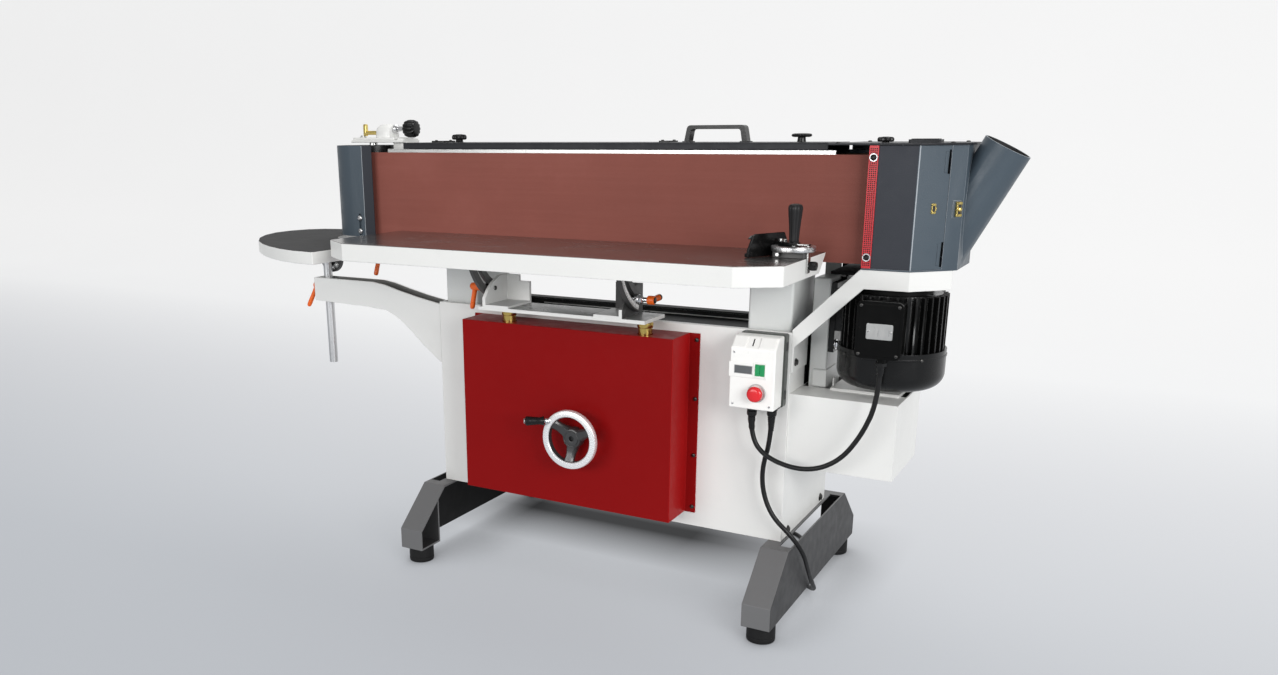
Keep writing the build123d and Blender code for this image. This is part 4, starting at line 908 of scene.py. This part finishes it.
for gx, gy in ((377.0, -181.0), (414.0, -166.0)):
    hexhead(bm, (gx, gy, 478), (0, 0, -1), 11.6, 8.0, 0, 1.5)
    lathe(bm, [(9.4, 8), (10.2, 9.0), (10.2, 15), (8.8, 18.5), (6.0, 20.5), (0, 20.5)], (gx, gy, 478), (0, 0, -1), 32, lobes=flutes(12, 0.05))
trim(bm, "starter_glands", [BLACK], "frame")
BASEP = plastic("starter_base_plastic", (0.062, 0.068, 0.062), 0.40, 0.15)
bm = bmesh.new()
prism(bm, soften([(336, 475), (431, 475), (431, 625), (336, 625)], 5, 4), "y", -150.2, -131.6)
prism(bm, soften([(339, 478), (428, 478), (428, 622), (339, 622)], 4, 4), "y", -151.4, -149.5)
for zz in (500, 600):
    box(bm, 430.4, 432.2, -147, -137, zz - 9, zz + 9, 1)
piece(bm, "starter_back", [BASEP, INK_AND_RECESS_SHADE], "starter_base", 1.0)
bm = bmesh.new()
box(bm, 387.1, 396.6, -204, -192, 547.1, 570.9)
box(bm, 397.4, 406.9, -204, -192, 547.1, 570.9)
box(bm, 396.0, 398.0, -203.0, -193, 547.6, 570.4)
piece(bm, "start_push", [GREEN], "start_button", 1.0, 3)
bm = bmesh.new()
lathe(bm, [(0, 0), (8, 0), (8, 19), (13.2, 19.4), (15.6, 21.0), (16, 23.5), (15.6, 26), (14.2, 28.2), (11.5, 29.7), (7, 30.6), (0, 31)], (392, -190, 512), (0, -1, 0), 48)
piece(bm, "stop_push", [REDP], "stop_button")

# ------------------------------------------------------------------ head
skin("head_columns", [GREY], bevel=1.0, angle=40)
skin("head_beam", [GREY, SLATE], lambda c, n: 1 if c.x < -654 and c.y < -66 else 0, bevel=0.8, drop=lambda c, n: c.y < -130.8 and abs(c.x + 665.5) < 6.5)
bm = bmesh.new()
for zs in (784.6, 816):
    lathe(bm, [(0, 6.6), (3, 6.6), (3, 0)], (-665.5, -130.4, zs), (0, -1, 0), 16)
    button(bm, (-665.5, -135.3, zs), (0, -1, 0), 6.4, 2.5, 0, 1)
trim(bm, "guard_screws", [ALU, INK_AND_RECESS_SHADE], "head")
skin("platen", [PLATEN], bevel=1.2)
skin("sanding_belt", [BELT, CLOTH], lambda c, n: 1 if (abs(c.y + 46) < 69.3 and -684 <= c.x <= 614 and n.y * (c.y + 46) < 0) or ((c.x < -684 or c.x > 614) and n.dot(Vector((c.x - max(-684, min(614, c.x)), c.y + 46, 0))) < 0) else 0, angle=40)
skin("rear_guard", [SLATE], bevel=0.8)
bm = bmesh.new()
for xx in (-520, -250, 10, 270, 536):
    for zz in (778, 964):
        pan(bm, (xx, 41, zz), (0, 1, 0), 4.6, 2.6)
trim(bm, "rear_guard_screws", [STEEL, INK_AND_RECESS_SHADE], "head")
skin("idler_base", [CREAM], bevel=1.6, bseg=3)
bm = bmesh.new()
prism(bm, soften([(-728, -76), (-596, -76), (-596, -16), (-728, -16)], [10, 3, 3, 10], 5), "z", 1000.3, 1006.0)
xs = [-661, -660.2, -658.3, -655, -650.5, -644.5, -635.5, -628, -623.2, -620.2, -618.2, -617]
ks = [0.55, 0.68, 0.80, 0.89, 0.95, 0.985, 1.0, 0.985, 0.95, 0.90, 0.82, 0.70]
prev = None
for x, q in zip(xs, ks):
    hw_, top = 24.0 * q, 1005.5 + 32.5 * (0.35 + 0.65 * q)
    rr = min(hw_, top - 1005.5) * 0.92
    sec = [(-hw_, 1005.5)] + [(-hw_ + rr - rr * math.cos(math.radians(a)), top - rr + rr * math.sin(math.radians(a))) for a in range(0, 91, 15)]
    sec += [(-u, z) for u, z in reversed(sec)]
    ring = [bm.verts.new((x, -46 + u, z)) for u, z in sec]
    if prev:
        for i in range(len(ring)):
            face(bm, (prev[i], prev[(i + 1) % len(ring)], ring[(i + 1) % len(ring)], ring[i]))
    else:
        face(bm, ring)
    prev = ring
face(bm, prev)
lathe(bm, [(0, 0), (10, 0), (10, 229), (0, 229)], (-684, -46, 772), (0, 0, 1), 32, mi=1)
hexhead(bm, (-716, -46, 1006), (0, 0, 1), 7, 5, 1, 1.2)
piece(bm, "carriage", [CREAM, STEEL], "idler_carriage", 1.2, 3)
bm = bmesh.new()
skin("idler_drum", [RUBBER, BLACK], lambda c, n: 1 if c.z > 969.5 else 0, angle=40)
shape = flutes(12, 0.13)
lathe(bm, [(0, 33), (8, 33.4), (15, 32.6), (19, 30), (20.6, 25), (21, 16), (20.6, 8), (18.5, 3), (12, 0.6), (8.5, 0)], (-581, -46, 1026), (1, 0, 0), 96, shape)
lathe(bm, [(0, 49), (6, 49), (6, 0)], (-629, -46, 1026), (1, 0, 0), 28, mi=1)
lathe(bm, [(6, 0), (8.2, 0.2), (10.2, 2.5), (11, 6.5), (10.2, 10.5), (8.2, 12.8), (6.0, 13.4)], (-617, -46, 1026), (1, 0, 0), 32, mi=1)
piece(bm, "tension_wheel", [BLACK, CHROME], "tension_knob")
bm = bmesh.new()
lathe(bm, [(0, 0), (4.4, 0), (5, 0.8), (5, 60), (0, 60)], (-706, -46, 1017), (1, 0, 0), 24)
prism(bm, soften([(-51, 1009), (-41, 1009), (-41, 1038), (-51, 1038)], 4.6, 5), "x", -711, -703)
piece(bm, "tracking_bar", [BRASS], "tracking_lever", 1.0, 3)

bm = bmesh.new()
box(bm, -535, 481, -118, 36, 991, 994)
box(bm, -535, 481, -118, -115.4, 980, 991.4)
box(bm, -535, 481, 33.4, 36, 972, 991.4)
piece(bm, "cover", [COVERP], "top_cover", 0.9)
bm = bmesh.new()
prism(bm, soften([(164, 994), (171, 1028), (295, 1028), (302, 994), (291, 994), (286.5, 1020), (179.5, 1020), (175, 994)], [0, 9, 9, 0, 0, 6, 6, 0], 5), "y", -71, -49)
for xa in (160, 286):
    prism(bm, soften([(xa, -73), (xa + 20, -73), (xa + 20, -47), (xa, -47)], 4, 4), "z", 993.8, 996.4)
prism(bm, soften([(-477, -85), (-441, -85), (-441, -35), (-477, -35)], 4, 4), "z", 993.8, 998)
prism(bm, soften([(112, -85), (136, -85), (136, -35), (112, -35)], 4, 4), "z", 993.8, 997.5)
for xx, yy, zz in ((-468, -76, 998), (-450, -44, 998), (118, -76, 997.5), (130, -44, 997.5)):
    pan(bm, (xx, yy, zz), (0, 0, 1), 3.6, 2.0, 1, 2)
trim(bm, "cover_handle", [BLACKP, DARKST, INK_AND_RECESS_SHADE], "cover", 1.0, 3)
bm = bmesh.new()
lathe(bm, [(0, 0), (4, 0), (4, 12)], (-413, -60, 984), (0, 0, 1), 20, mi=2)
lathe(bm, [(0, 0.0), (10, 0.0), (8.8, 2.0), (8.2, 7)], (-413, -60, 994.3), (0, 0, 1), 28)
star_knob(bm, (-413, -60, 1000.2), (0, 0, 1), 19, 12.6, 6)
piece(bm, "knob_left", [BLACK, SATIN, STEEL], "star_knob_left")
bm = bmesh.new()
lathe(bm, [(0, 0), (4, 0), (4, 12)], (411, -60, 984), (0, 0, 1), 20, mi=1)
lathe(bm, [(0, 0), (9, 0), (8.4, 3), (7.6, 9.6)], (411, -60, 994.5), (0, 0, 1), 28)
lathe(bm, [(0, 0), (15, 0), (19.2, 1.2), (20, 3.4), (19.2, 5.8), (15, 7), (7, 7.4), (0, 7.6)], (411, -60, 1003.8), (0, 0, 1), 64, lobes=flutes(16, 0.07))
piece(bm, "knob_right", [BLACK, STEEL], "top_knob_right")

# the flat part right of the fold takes the darker slate: painted shade
skin("end_guard", [SLATE, SLATE_SHADED], lambda c, n: 1 if c.x > -651.5 else 0, angle=40)
# thin light bead along the guard's fold: painted highlight
bm = bmesh.new()
tube(bm, [(-651.2, -133.1, 773), (-651.2, -133.1, 986)], 0.75, 10)
trim(bm, "guard_fold_highlight", [EDGE_HIGHLIGHT_AND_WEAR], "guard")
bm = bmesh.new()
clamp_lever(bm, (-650, -66.3, 715), (0, -1, 0), 30.4, 10.5, (-655, -100, 672), 6.5, 5.5, 0, 1, 0.78)
piece(bm, "idler_lever", [ORANGE, BLACK], "idler_lock_lever")

# ------------------------------------------------------------------ motor
skin("motor_body", [BLACKP, SATIN, MATT_BLACK_AND_SHADE], lambda c, n: 2 if c.z > 716 else 1 if c.z < 603.9 and (c.x - 614) ** 2 + (c.y + 46) ** 2 < 100.5 ** 2 and c.z > 527 and n.z > -0.5 else 0, angle=40)
bm = bmesh.new()
lathe(bm, [(104.2, 0), (105.2, 0.8), (105.2, 4.2), (104.2, 5)], (614, -46, 590), (0, 0, 1), 96)
for i in range(4):
    a = math.radians(45 + 90 * i)
    pan(bm, (614 + 105 * math.cos(a), -46 + 105 * math.sin(a), 592.5), (math.cos(a), math.sin(a), 0), 3.4, 2.0, 1, 1)
trim(bm, "motor_rings", [BLACKP, DARKST], "head", 0.4)
bm = bmesh.new()
prism(bm, soften([(579, 605), (660, 605), (660, 708), (579, 708)], 10, 6), "y", -187.6, -150)
prism(bm, soften([(576.6, 602.6), (663, 602.6), (663, 710.6), (576.6, 710.6)], 13, 7), "y", -192.6, -186.6)
prism(bm, soften([(582, 608), (657.6, 608), (657.6, 705), (582, 705)], 10, 6), "y", -193.8, -192.2)
prism(bm, soften([(588, 614), (651, 614), (651, 699), (588, 699)], 8, 5), "y", -152, -132)
for xx in (584.5, 655.0):
    for zz in (610.5, 702.5):
        pan(bm, (xx, -193.6, zz), (0, -1, 0), 3.2, 1.2, 1, 2)
lathe(bm, [(0, 0), (9, 0), (9, 17.5), (0, 17.5)], (624, -172, 588), (0, 0, 1), 32)
piece(bm, "terminal_box", [JBOX, DARKST, INK_AND_RECESS_SHADE], "junction_box", 1.6, 4)
bm = bmesh.new()
prism(bm, soften([(597, 640), (646, 640), (646, 669.5), (597, 669.5)], 3, 3), "y", -194.4, -193.7)
for xx in (600.5, 642.5):
    lathe(bm, [(0, 1.0), (1.2, 0.9), (1.8, 0.4), (1.9, 0)], (xx, -194.4, 654.8), (0, -1, 0), 14, mi=1)
trim(bm, "blank_plate", [BLANK, STEEL], "head", 0.2)
# the bracket's face toward the column takes matt black: painted shade in the gap between them
skin("motor_bracket", [BRIGHT, MATT_BLACK_AND_SHADE], lambda c, n: 1 if c.x < 446.6 else 0, bevel=4.0, bseg=4)
bm = bmesh.new()
prism(bm, soften([(450, 724), (481, 724), (481, 753), (450, 753)], 3, 4), "y", 26, 38)
trim(bm, "bracket_back", [PALE_AND_SHADE], "head", 0.8)
bm = bmesh.new()
prism(bm, soften([(-42, 499), (38, 499), (38, 538), (-42, 538)], 6, 4), "x", 456, 485.5)
trim(bm, "bracket_caps", [BRIGHT], "head", 1.6, 3)
bm = bmesh.new()
hexhead(bm, (495, -22, 590), (1, 0, 0), 8, 7, 0, 1.8)
hexhead(bm, (495, 15, 635), (1, 0, 0), 8, 7, 1, 1.8)
hexhead(bm, (495, 60, 700), (1, 0, 0), 8, 7, 1, 1.8)
hexhead(bm, (495, 60, 600), (1, 0, 0), 8, 7, 1, 1.8)
for xx, yy in ((520, 84), (600, 84), (520, -80)):
    hexhead(bm, (xx, yy, 744), (0, 0, -1), 7.5, 6, 1, 1.6)
trim(bm, "mount_bolts", [CHROME, DARKST], "head")
skin("drive_drum", [RUBBER], angle=40)

# ------------------------------------------------------------------ table lift and table
skin("main_table", [CREAM, TOP], lambda c, n: 1 if n.z > 0.9 and c.z > 788.5 else 0, bevel=1.6, bseg=3)


# The lift plate's top faces take the pale grey and the darker grey: painted shade beneath the table.
def lift_pick(c, n):
    if n.z > 0.9 and 645 < c.z < 647:
        return 2
    if n.z > 0.9 and c.z < 645:
        return 3
    if c.x > 30 and c.z > 647:
        return 1
    return 0


skin("lift_plate", [CREAM, IRON, PALE_AND_SHADE, SHADE], lift_pick, bevel=1.4, bseg=3)
skin("lift_posts", [ZINC], angle=40)
skin("table_trunnions", [IRON], bevel=0.9, angle=30)
TY, TZ = -121.0, 789.0


def on_arc(r, a):
    return (TY - r * math.cos(math.radians(a)), TZ - r * math.sin(math.radians(a)))


bm = bmesh.new()
band = [on_arc(143.5, a) for a in range(22, 72, 2)] + [on_arc(134.0, a) for a in range(70, 20, -2)]
prism(bm, band, "x", 112.0, 112.5, 0)
for i in range(0, 46, 1):
    a = 23.0 + i
    ln = 7.0 if i % 10 == 0 else (5.0 if i % 5 == 0 else 3.0)
    y0, z0 = on_arc(143.0, a)
    y1, z1 = on_arc(143.0 - ln, a)
    c = Vector((112.6, (y0 + y1) / 2, (z0 + z1) / 2))
    d = Vector((0, y1 - y0, z1 - z0)) / 2
    t = Vector((0, -d.z, d.y)).normalized()
    slab(bm, c, d, t * 0.28, (0.08, 0, 0), 1)
trim(bm, "tilt_scale", [WHITE, INK_AND_RECESS_SHADE], "table")
bm = bmesh.new()
for xa in (-259.5, 104.5):
    prism(bm, [on_arc(107.0, a) for a in range(4, 46, 2)] + [on_arc(62.0, a) for a in range(44, 8, -2)], "x", xa, xa + 5.0)
trim(bm, "trunnion_webs", [IRON], "table", 0.8)
bm = bmesh.new()
for xx in (-199.0, 139.0):
    lathe(bm, [(15, 0), (16.4, 0.6), (17, 2), (17, 10.6), (16.2, 11.3), (15, 11.3)], (xx, -190, 621.5), (0, 0, 1), 40)
trim(bm, "post_collars", [ZINC], "lift")
SY, SZ = TY - 126.0 * math.cos(math.radians(61.5)), TZ - 126.0 * math.sin(math.radians(61.5))

bm = bmesh.new()
lathe(bm, [(0, 0), (5, 0), (5, 60)], (-240, SY, SZ), (-1, 0, 0), 20, mi=1)
lathe(bm, [(0, 3.0), (3.6, 2.8), (4.8, 1.6), (5.2, 0)], (-241.4, SY, SZ), (1, 0, 0), 20, mi=3)
lathe(bm, [(0, 0), (11, 0), (11, 4.6), (10, 5.4), (0, 5.4)], (-262.6, SY, SZ), (-1, 0, 0), 28, mi=1)
clamp_lever(bm, (-278, SY, SZ), (-1, 0, 0), 30, 9, (-304, SY - 4, SZ - 52), 6.5, 5.5, 0, 2, 0.6)
piece(bm, "tilt_handle_left", [ORANGE, STEEL, BLACK, DARKST], "tilt_lever_left")
bm = bmesh.new()
lathe(bm, [(0, 0), (5, 0), (5, 54)], (86.2, SY, SZ), (1, 0, 0), 20, mi=1)
hexhead(bm, (91.4, SY, SZ), (-1, 0, 0), 9, 5.8, 1)
lathe(bm, [(0, 0), (11, 0), (11, 6), (10, 7.4), (0, 7.4)], (112.7, SY, SZ), (1, 0, 0), 28, mi=1)
hexhead(bm, (120, SY, SZ), (1, 0, 0), 9.4, 9, 1)
clamp_lever(bm, (140, SY, SZ), (1, 0, 0), 18, 9.5, (153, SY + 34, SZ + 3), 7.8, 6.6, 0, 2, 0.5, tip=2)
piece(bm, "tilt_handle_right", [ORANGE, CHROME, BLACK], "tilt_lever_right")

# handwheel: dished, flat polished rim
HX, HZ = -3.0, 375.0
bm = bmesh.new()
# the rim's front takes the half-diffuse light metal: painted reflection
lathe(bm, [(50.4, 0.6, 1), (49.8, 9, 1), (50.6, 13.5, 1), (52.6, 15.8, 0), (61.5, 16, 0), (64.6, 14.2, 0), (66, 10.5, 0), (66, 5.5, 0), (63.6, 1.6, 0), (59, 0, 1), (50.4, 0.6, 1)],
      (HX, -254, HZ), (0, -1, 0), 96)
for deg in (145, 25, 265):
    a = math.radians(deg)
    rd, td = Vector((math.cos(a), 0, math.sin(a))), Vector((-math.sin(a), 0, math.cos(a)))
    prev = None
    for r, wd, y0, y1 in ((14, 15, -238, -256), (24, 12.5, -241, -257), (36, 10.4, -247, -259), (46, 10.6, -252, -264), (52, 12.5, -254, -266)):
        sec = [(-wd, y0), (-wd, (y0 + y1) / 2 - 2), (-wd * 0.62, y1), (wd * 0.62, y1), (wd, (y0 + y1) / 2 - 2), (wd, y0)]
        ring = [bm.verts.new(Vector((HX, y, HZ)) + rd * r + td * t) for t, y in sec]
        if prev:
            for i in range(6):
                face(bm, (prev[i], prev[(i + 1) % 6], ring[(i + 1) % 6], ring[i]), 1)
        else:
            face(bm, ring, 1)
        prev = ring
    face(bm, prev, 1)
lathe(bm, [(0, 15.0, 2), (5.6, 15.0, 2), (6.0, 20.6, 2), (8, 21.2, 1), (15.5, 21.0, 1), (16.2, 19.6, 1), (17.4, 19.6, 1), (18.2, 20.8, 1), (20.8, 20.0, 1), (23, 16, 1), (23, 0, 1), (0, 0, 1)],
      (HX, -236, HZ), (0, -1, 0), 56)
lathe(bm, [(0, 0), (7, 0), (7, 98), (0, 98)], (HX, -238, HZ), (0, 1, 0), 28, mi=3)
lathe(bm, [(8.2, 0), (15.2, 7), (7, 7)], (HX, -206, HZ), (0, 1, 0), 28, mi=3)
GD = Vector((-0.8660254, -0.5, 0.0))          # the handle leans out beside the rim
GP = Vector((-47.0, -264.0, 412.0))
lathe(bm, [(0, 61.5), (3, 61.5), (6.2, 60.6), (7, 59.6), (6.6, 58.7), (4, 58.6), (4, 0)], GP, GD, 24, mi=3)
lathe(bm, [(4, 5), (6.4, 5), (7.3, 6.2), (7.5, 8), (6.3, 9.4), (7.4, 10.8), (7.5, 13.4), (6.8, 14.4), (4, 14.5)], GP, GD, 28, mi=4)
piece(bm, "wheel_rim", [RIM_PAINTED_REFLECTION, WHEEL, INK_AND_RECESS_SHADE, STEEL, CHROME], "handwheel", angle=36)
bm = bmesh.new()
lathe(bm, [(4.2, 0.4), (8.8, 0.4), (10, 1.6), (9.9, 4), (8.6, 7), (8.2, 12), (8.8, 20), (9.7, 30), (10.3, 36), (10.1, 39.5), (8.6, 41.6), (5.2, 41.9), (4.2, 41)], GP + GD * 16.0, GD, 40)
piece(bm, "wheel_grip", [BLACK], "handwheel_grip")

# ------------------------------------------------------------------ mitre gauge
MX, MY, TOPZ = 463.0, -238.0, 789.0
bm = bmesh.new()
prism(bm, soften([(427, -256), (491, -256), (491, -220), (427, -220)], 6, 4), "z", 789.4, 800.5, 1)
lathe(bm, [(0, 0), (39.6, 0), (40.8, 1), (41.2, 2.6), (41.2, 8.4), (40.6, 9.6), (38.6, 10.0), (29, 10.0), (28.4, 8.6, 1), (0, 8.6, 1)], (MX, MY, 800.8), (0, 0, 1), 72)
for i in range(0, 37):
    a = math.radians(-180 + i * 5)
    e = Vector((math.cos(a), math.sin(a), 0))
    t = Vector((-e.y, e.x, 0))
    if e.x * 41.2 + MX > 490.5 and abs(e.y) < 0.25:
        continue
    hh = 3.2 if i % 6 == 0 else 2.0
    slab(bm, Vector((MX, MY, 810.4 - hh)) + e * 41.25, e * 0.1, t * 0.32, (0, 0, hh), 2)
    slab(bm, Vector((MX, MY, 810.9)) + e * (40.0 - hh), e * hh, t * 0.32, (0, 0, 0.08), 2)
box(bm, 491.3, 494.2, -246, -230, 761.5, 814.5, 3)
box(bm, 470, 494.2, -246, -230, 812.3, 814.6, 3)
lathe(bm, [(0, 10), (3.4, 10), (4.2, 9), (4.2, 3), (2.6, 2.4), (2.6, 0)], (441, -256, 796), (0, -1, 0), 24, lobes=flutes(10, 0.12), mi=3)
piece(bm, "mitre_body", [ALU, IRON, INK_AND_RECESS_SHADE, STEEL], "mitre_base", 0.7)

bm = bmesh.new()
sil = soften([(-75, 789.7), (25, 789.7), (25, 817), (18, 832), (-56, 832), (-62, 829), (-74, 802)], [1.5, 1.5, 3, 5, 6, 4, 3], 4)
prism(bm, sil, "x", -46.5, -42)
prism(bm, soften([(-74, 789.7), (24, 789.7), (24, 797), (-74, 797)], 2, 3), "x", -52, -46)
prism(bm, soften([(-70, 822), (20, 822), (19, 829), (-60, 829)], 2, 3), "x", -51.5, -46)
for yy in (-58, -36, -14, 8):
    prism(bm, soften([(yy - 2.6, 795), (yy + 2.6, 795), (yy + 2.6, 824), (yy - 2.6, 824)], 1.2, 2), "x", -51.2, -46)
prism(bm, soften([(-43, -13), (-10, -14), (4, -13.5), (13.5, 0), (4, 13.5), (-10, 14), (-43, 13)], 4, 4), "z", 811.5, 817.6)
for xx in (-34, -22):
    hexhead(bm, (xx, 0, 817.6), (0, 0, 1), 4.6, 3.6, 1)
mrot = Matrix.Translation((MX, MY, 0)) @ Matrix.Rotation(math.radians(-27), 4, "Z")
bmesh.ops.transform(bm, matrix=mrot, verts=bm.verts)
piece(bm, "mitre_casting", [BLACKP, STEEL], "mitre_fence", 0.9, 3)
bm = bmesh.new()
lathe(bm, [(0, 0), (5, 0), (5, 24)], (MX, MY, 795), (0, 0, 1), 20, mi=1)
lathe(bm, [(0, 0), (9, 0), (9.4, 1.4), (9.2, 5), (10.0, 20), (11.6, 38), (13.2, 54), (13.9, 60), (13.4, 64), (11, 67.4), (6, 69), (0, 69.4)], (MX, MY, 818), (0, 0, 1), 72, lobes=flutes(8, 0.09))
piece(bm, "mitre_grip_handle", [SATIN, STEEL], "mitre_handle")
bm = bmesh.new()
lathe(bm, [(0, 0), (3, 0), (3, 5)], (491.2, MY, 775), (1, 0, 0), 16, mi=1)
lathe(bm, [(0, 0), (6, 0), (8.2, 1.2), (8.5, 4), (8.5, 11), (7.6, 13.6), (4, 14.5), (0, 14.5)], (495.4, MY, 775), (1, 0, 0), 60, lobes=flutes(15, 0.1))
piece(bm, "mitre_screw", [BLACK, STEEL], "mitre_knob")

# ------------------------------------------------------------------ contour table
skin("contour_table", [CREAM, PAD], lambda c, n: 1 if n.z > 0.9 and c.z > 763.5 else 0, bevel=2.0, bseg=3, angle=40)
skin("contour_pole", [POLE, STEEL], lambda c, n: 1 if c.y > -94.5 else 0, angle=40)
skin("contour_trunnion", [IRON], bevel=1.0, angle=40)
bm = bmesh.new()
hexhead(bm, (-788.5, -94, 690), (0, -1, 0), 5.4, 4.4, 0, 1.2)
trim(bm, "contour_bolt", [STEEL], "contour")
bm = bmesh.new()
lathe(bm, [(0, 0), (5, 0), (5, 18)], (-819, -107, 636), (-1, 0, 0), 20, mi=1)
clamp_lever(bm, (-835.4, -107, 636), (-1, 0, 0), 21.4, 9, (-873, -117, 580), 6.5, 5.5, 0, 2, 0.56)
piece(bm, "pole_handle", [ORANGE, STEEL, BLACK], "pole_lever")

# ------------------------------------------------------------------ stage
def stage_material():
    m, nt, b = nodes_of("studio")
    tc = nt.nodes.new("ShaderNodeTexCoord")
    sep = nt.nodes.new("ShaderNodeSeparateXYZ")
    nt.links.new(tc.outputs["Object"], sep.inputs[0])
    # floor and backdrop colour darker towards the front and lighter towards the back: painted light fall-off
    ru = nt.nodes.new("ShaderNodeMapRange")
    ru.inputs["From Min"].default_value = -2.0
    ru.inputs["From Max"].default_value = 5.5
    nt.links.new(sep.outputs["Y"], ru.inputs["Value"])
    big = noise(nt, 1.3, 3.0)
    tone = [(0.0, (0.37, 0.39, 0.42)), (0.20, (0.45, 0.47, 0.50)), (0.42, (0.63, 0.64, 0.66)), (0.62, (0.81, 0.815, 0.82)), (0.85, (0.87, 0.87, 0.87))]
    c = ramp(nt, ru.outputs["Result"], tone)
    c = mix(nt, span(nt, big, 0.0, 0.02), c, (0.6, 0.6, 0.61))
    # ambient occlusion darkens the floor's glow close to the machine: painted contact shade
    ao = nt.nodes.new("ShaderNodeAmbientOcclusion")
    ao.samples = 10
    ao.inputs["Distance"].default_value = 0.22
    near = span(nt, ao.outputs["AO"], 0.10, 1.0, 0.15, 0.80)
    # soft dark patch on the floor beneath and behind the cabinet: painted shadow
    sx = math_(nt, "MULTIPLY", span(nt, sep.outputs["X"], 0.0, 1.0, -0.52, -0.30), span(nt, sep.outputs["X"], 1.0, 0.0, 0.18, 0.70))
    sy = math_(nt, "MULTIPLY", span(nt, sep.outputs["Y"], 0.0, 1.0, 0.03, 0.245), span(nt, sep.outputs["Y"], 1.0, 0.0, 0.29, 0.60))
    under = span(nt, math_(nt, "MULTIPLY", sx, sy), 1.0, 0.06, 0.0, 1.0)
    c = mix(nt, 1.0, c, under, "MULTIPLY")
    # the floor and backdrop glow: painted light
    nt.links.new(mix(nt, 1.0, c, near, "MULTIPLY"), b.inputs["Emission Color"])
    b.inputs["Emission Strength"].default_value = 0.80
    c = mix(nt, 0.66, c, (0.0, 0.0, 0.0))
    nt.links.new(c, b.inputs["Base Color"])
    b.inputs["Roughness"].default_value = 0.75
    b.inputs["Specular IOR Level"].default_value = 0.15
    return m


bm = bmesh.new()
prof = [(-6.0, 0.0), (-2.0, 0.0), (0.0, 0.0), (2.2, 0.0), (3.2, 0.0)]
for i in range(1, 17):
    a = math.radians(90.0 * i / 16)
    prof.append((3.2 + 2.6 * math.sin(a), 2.6 - 2.6 * math.cos(a)))
prof.append((5.8, 9.0))
rows = []
for y, z in prof:
    rows.append([bm.verts.new((x, y, z)) for x in (-14.0, 14.0)])
for r0, r1 in zip(rows, rows[1:]):
    bm.faces.new((r0[0], r0[1], r1[1], r1[0]))
me = bpy.data.meshes.new("studio_sweep")
bm.to_mesh(me)
bm.free()
for p in me.polygons:
    p.use_smooth = True
me.materials.append(stage_material())
floor = bpy.data.objects.new("studio_sweep", me)
scene.collection.objects.link(floor)


def area(name, loc, target, size, power, col=(1, 1, 1)):
    li = bpy.data.lights.new(name, "AREA")
    li.shape = "RECTANGLE"
    li.size, li.size_y = size
    li.energy = power
    li.color = col
    o = bpy.data.objects.new(name, li)
    scene.collection.objects.link(o)
    o.location = Vector(loc)
    d = (Vector(target) - Vector(loc)).normalized()
    o.rotation_euler = d.to_track_quat("-Z", "Y").to_euler()
    return o


area("key", (4.1, -2.6, 1.9), (0.0, 0.0, 0.55), (2.4, 2.0), 150)
area("front", (-0.9, -4.3, 1.6), (0.0, 0.0, 0.55), (3.6, 1.3), 88)
area("top", (0.0, 0.9, 3.6), (0.0, 0.1, 0.6), (4.5, 2.4), 55)
world = bpy.data.worlds.new("world")
scene.world = world
world.use_nodes = True
bg = world.node_tree.nodes["Background"]
bg.inputs[0].default_value = (1.0, 1.0, 1.0, 1.0)
bg.inputs[1].default_value = 0.40
scene.view_settings.view_transform = "Standard"
scene.view_settings.look = "None"
scene.view_settings.exposure = 0.0
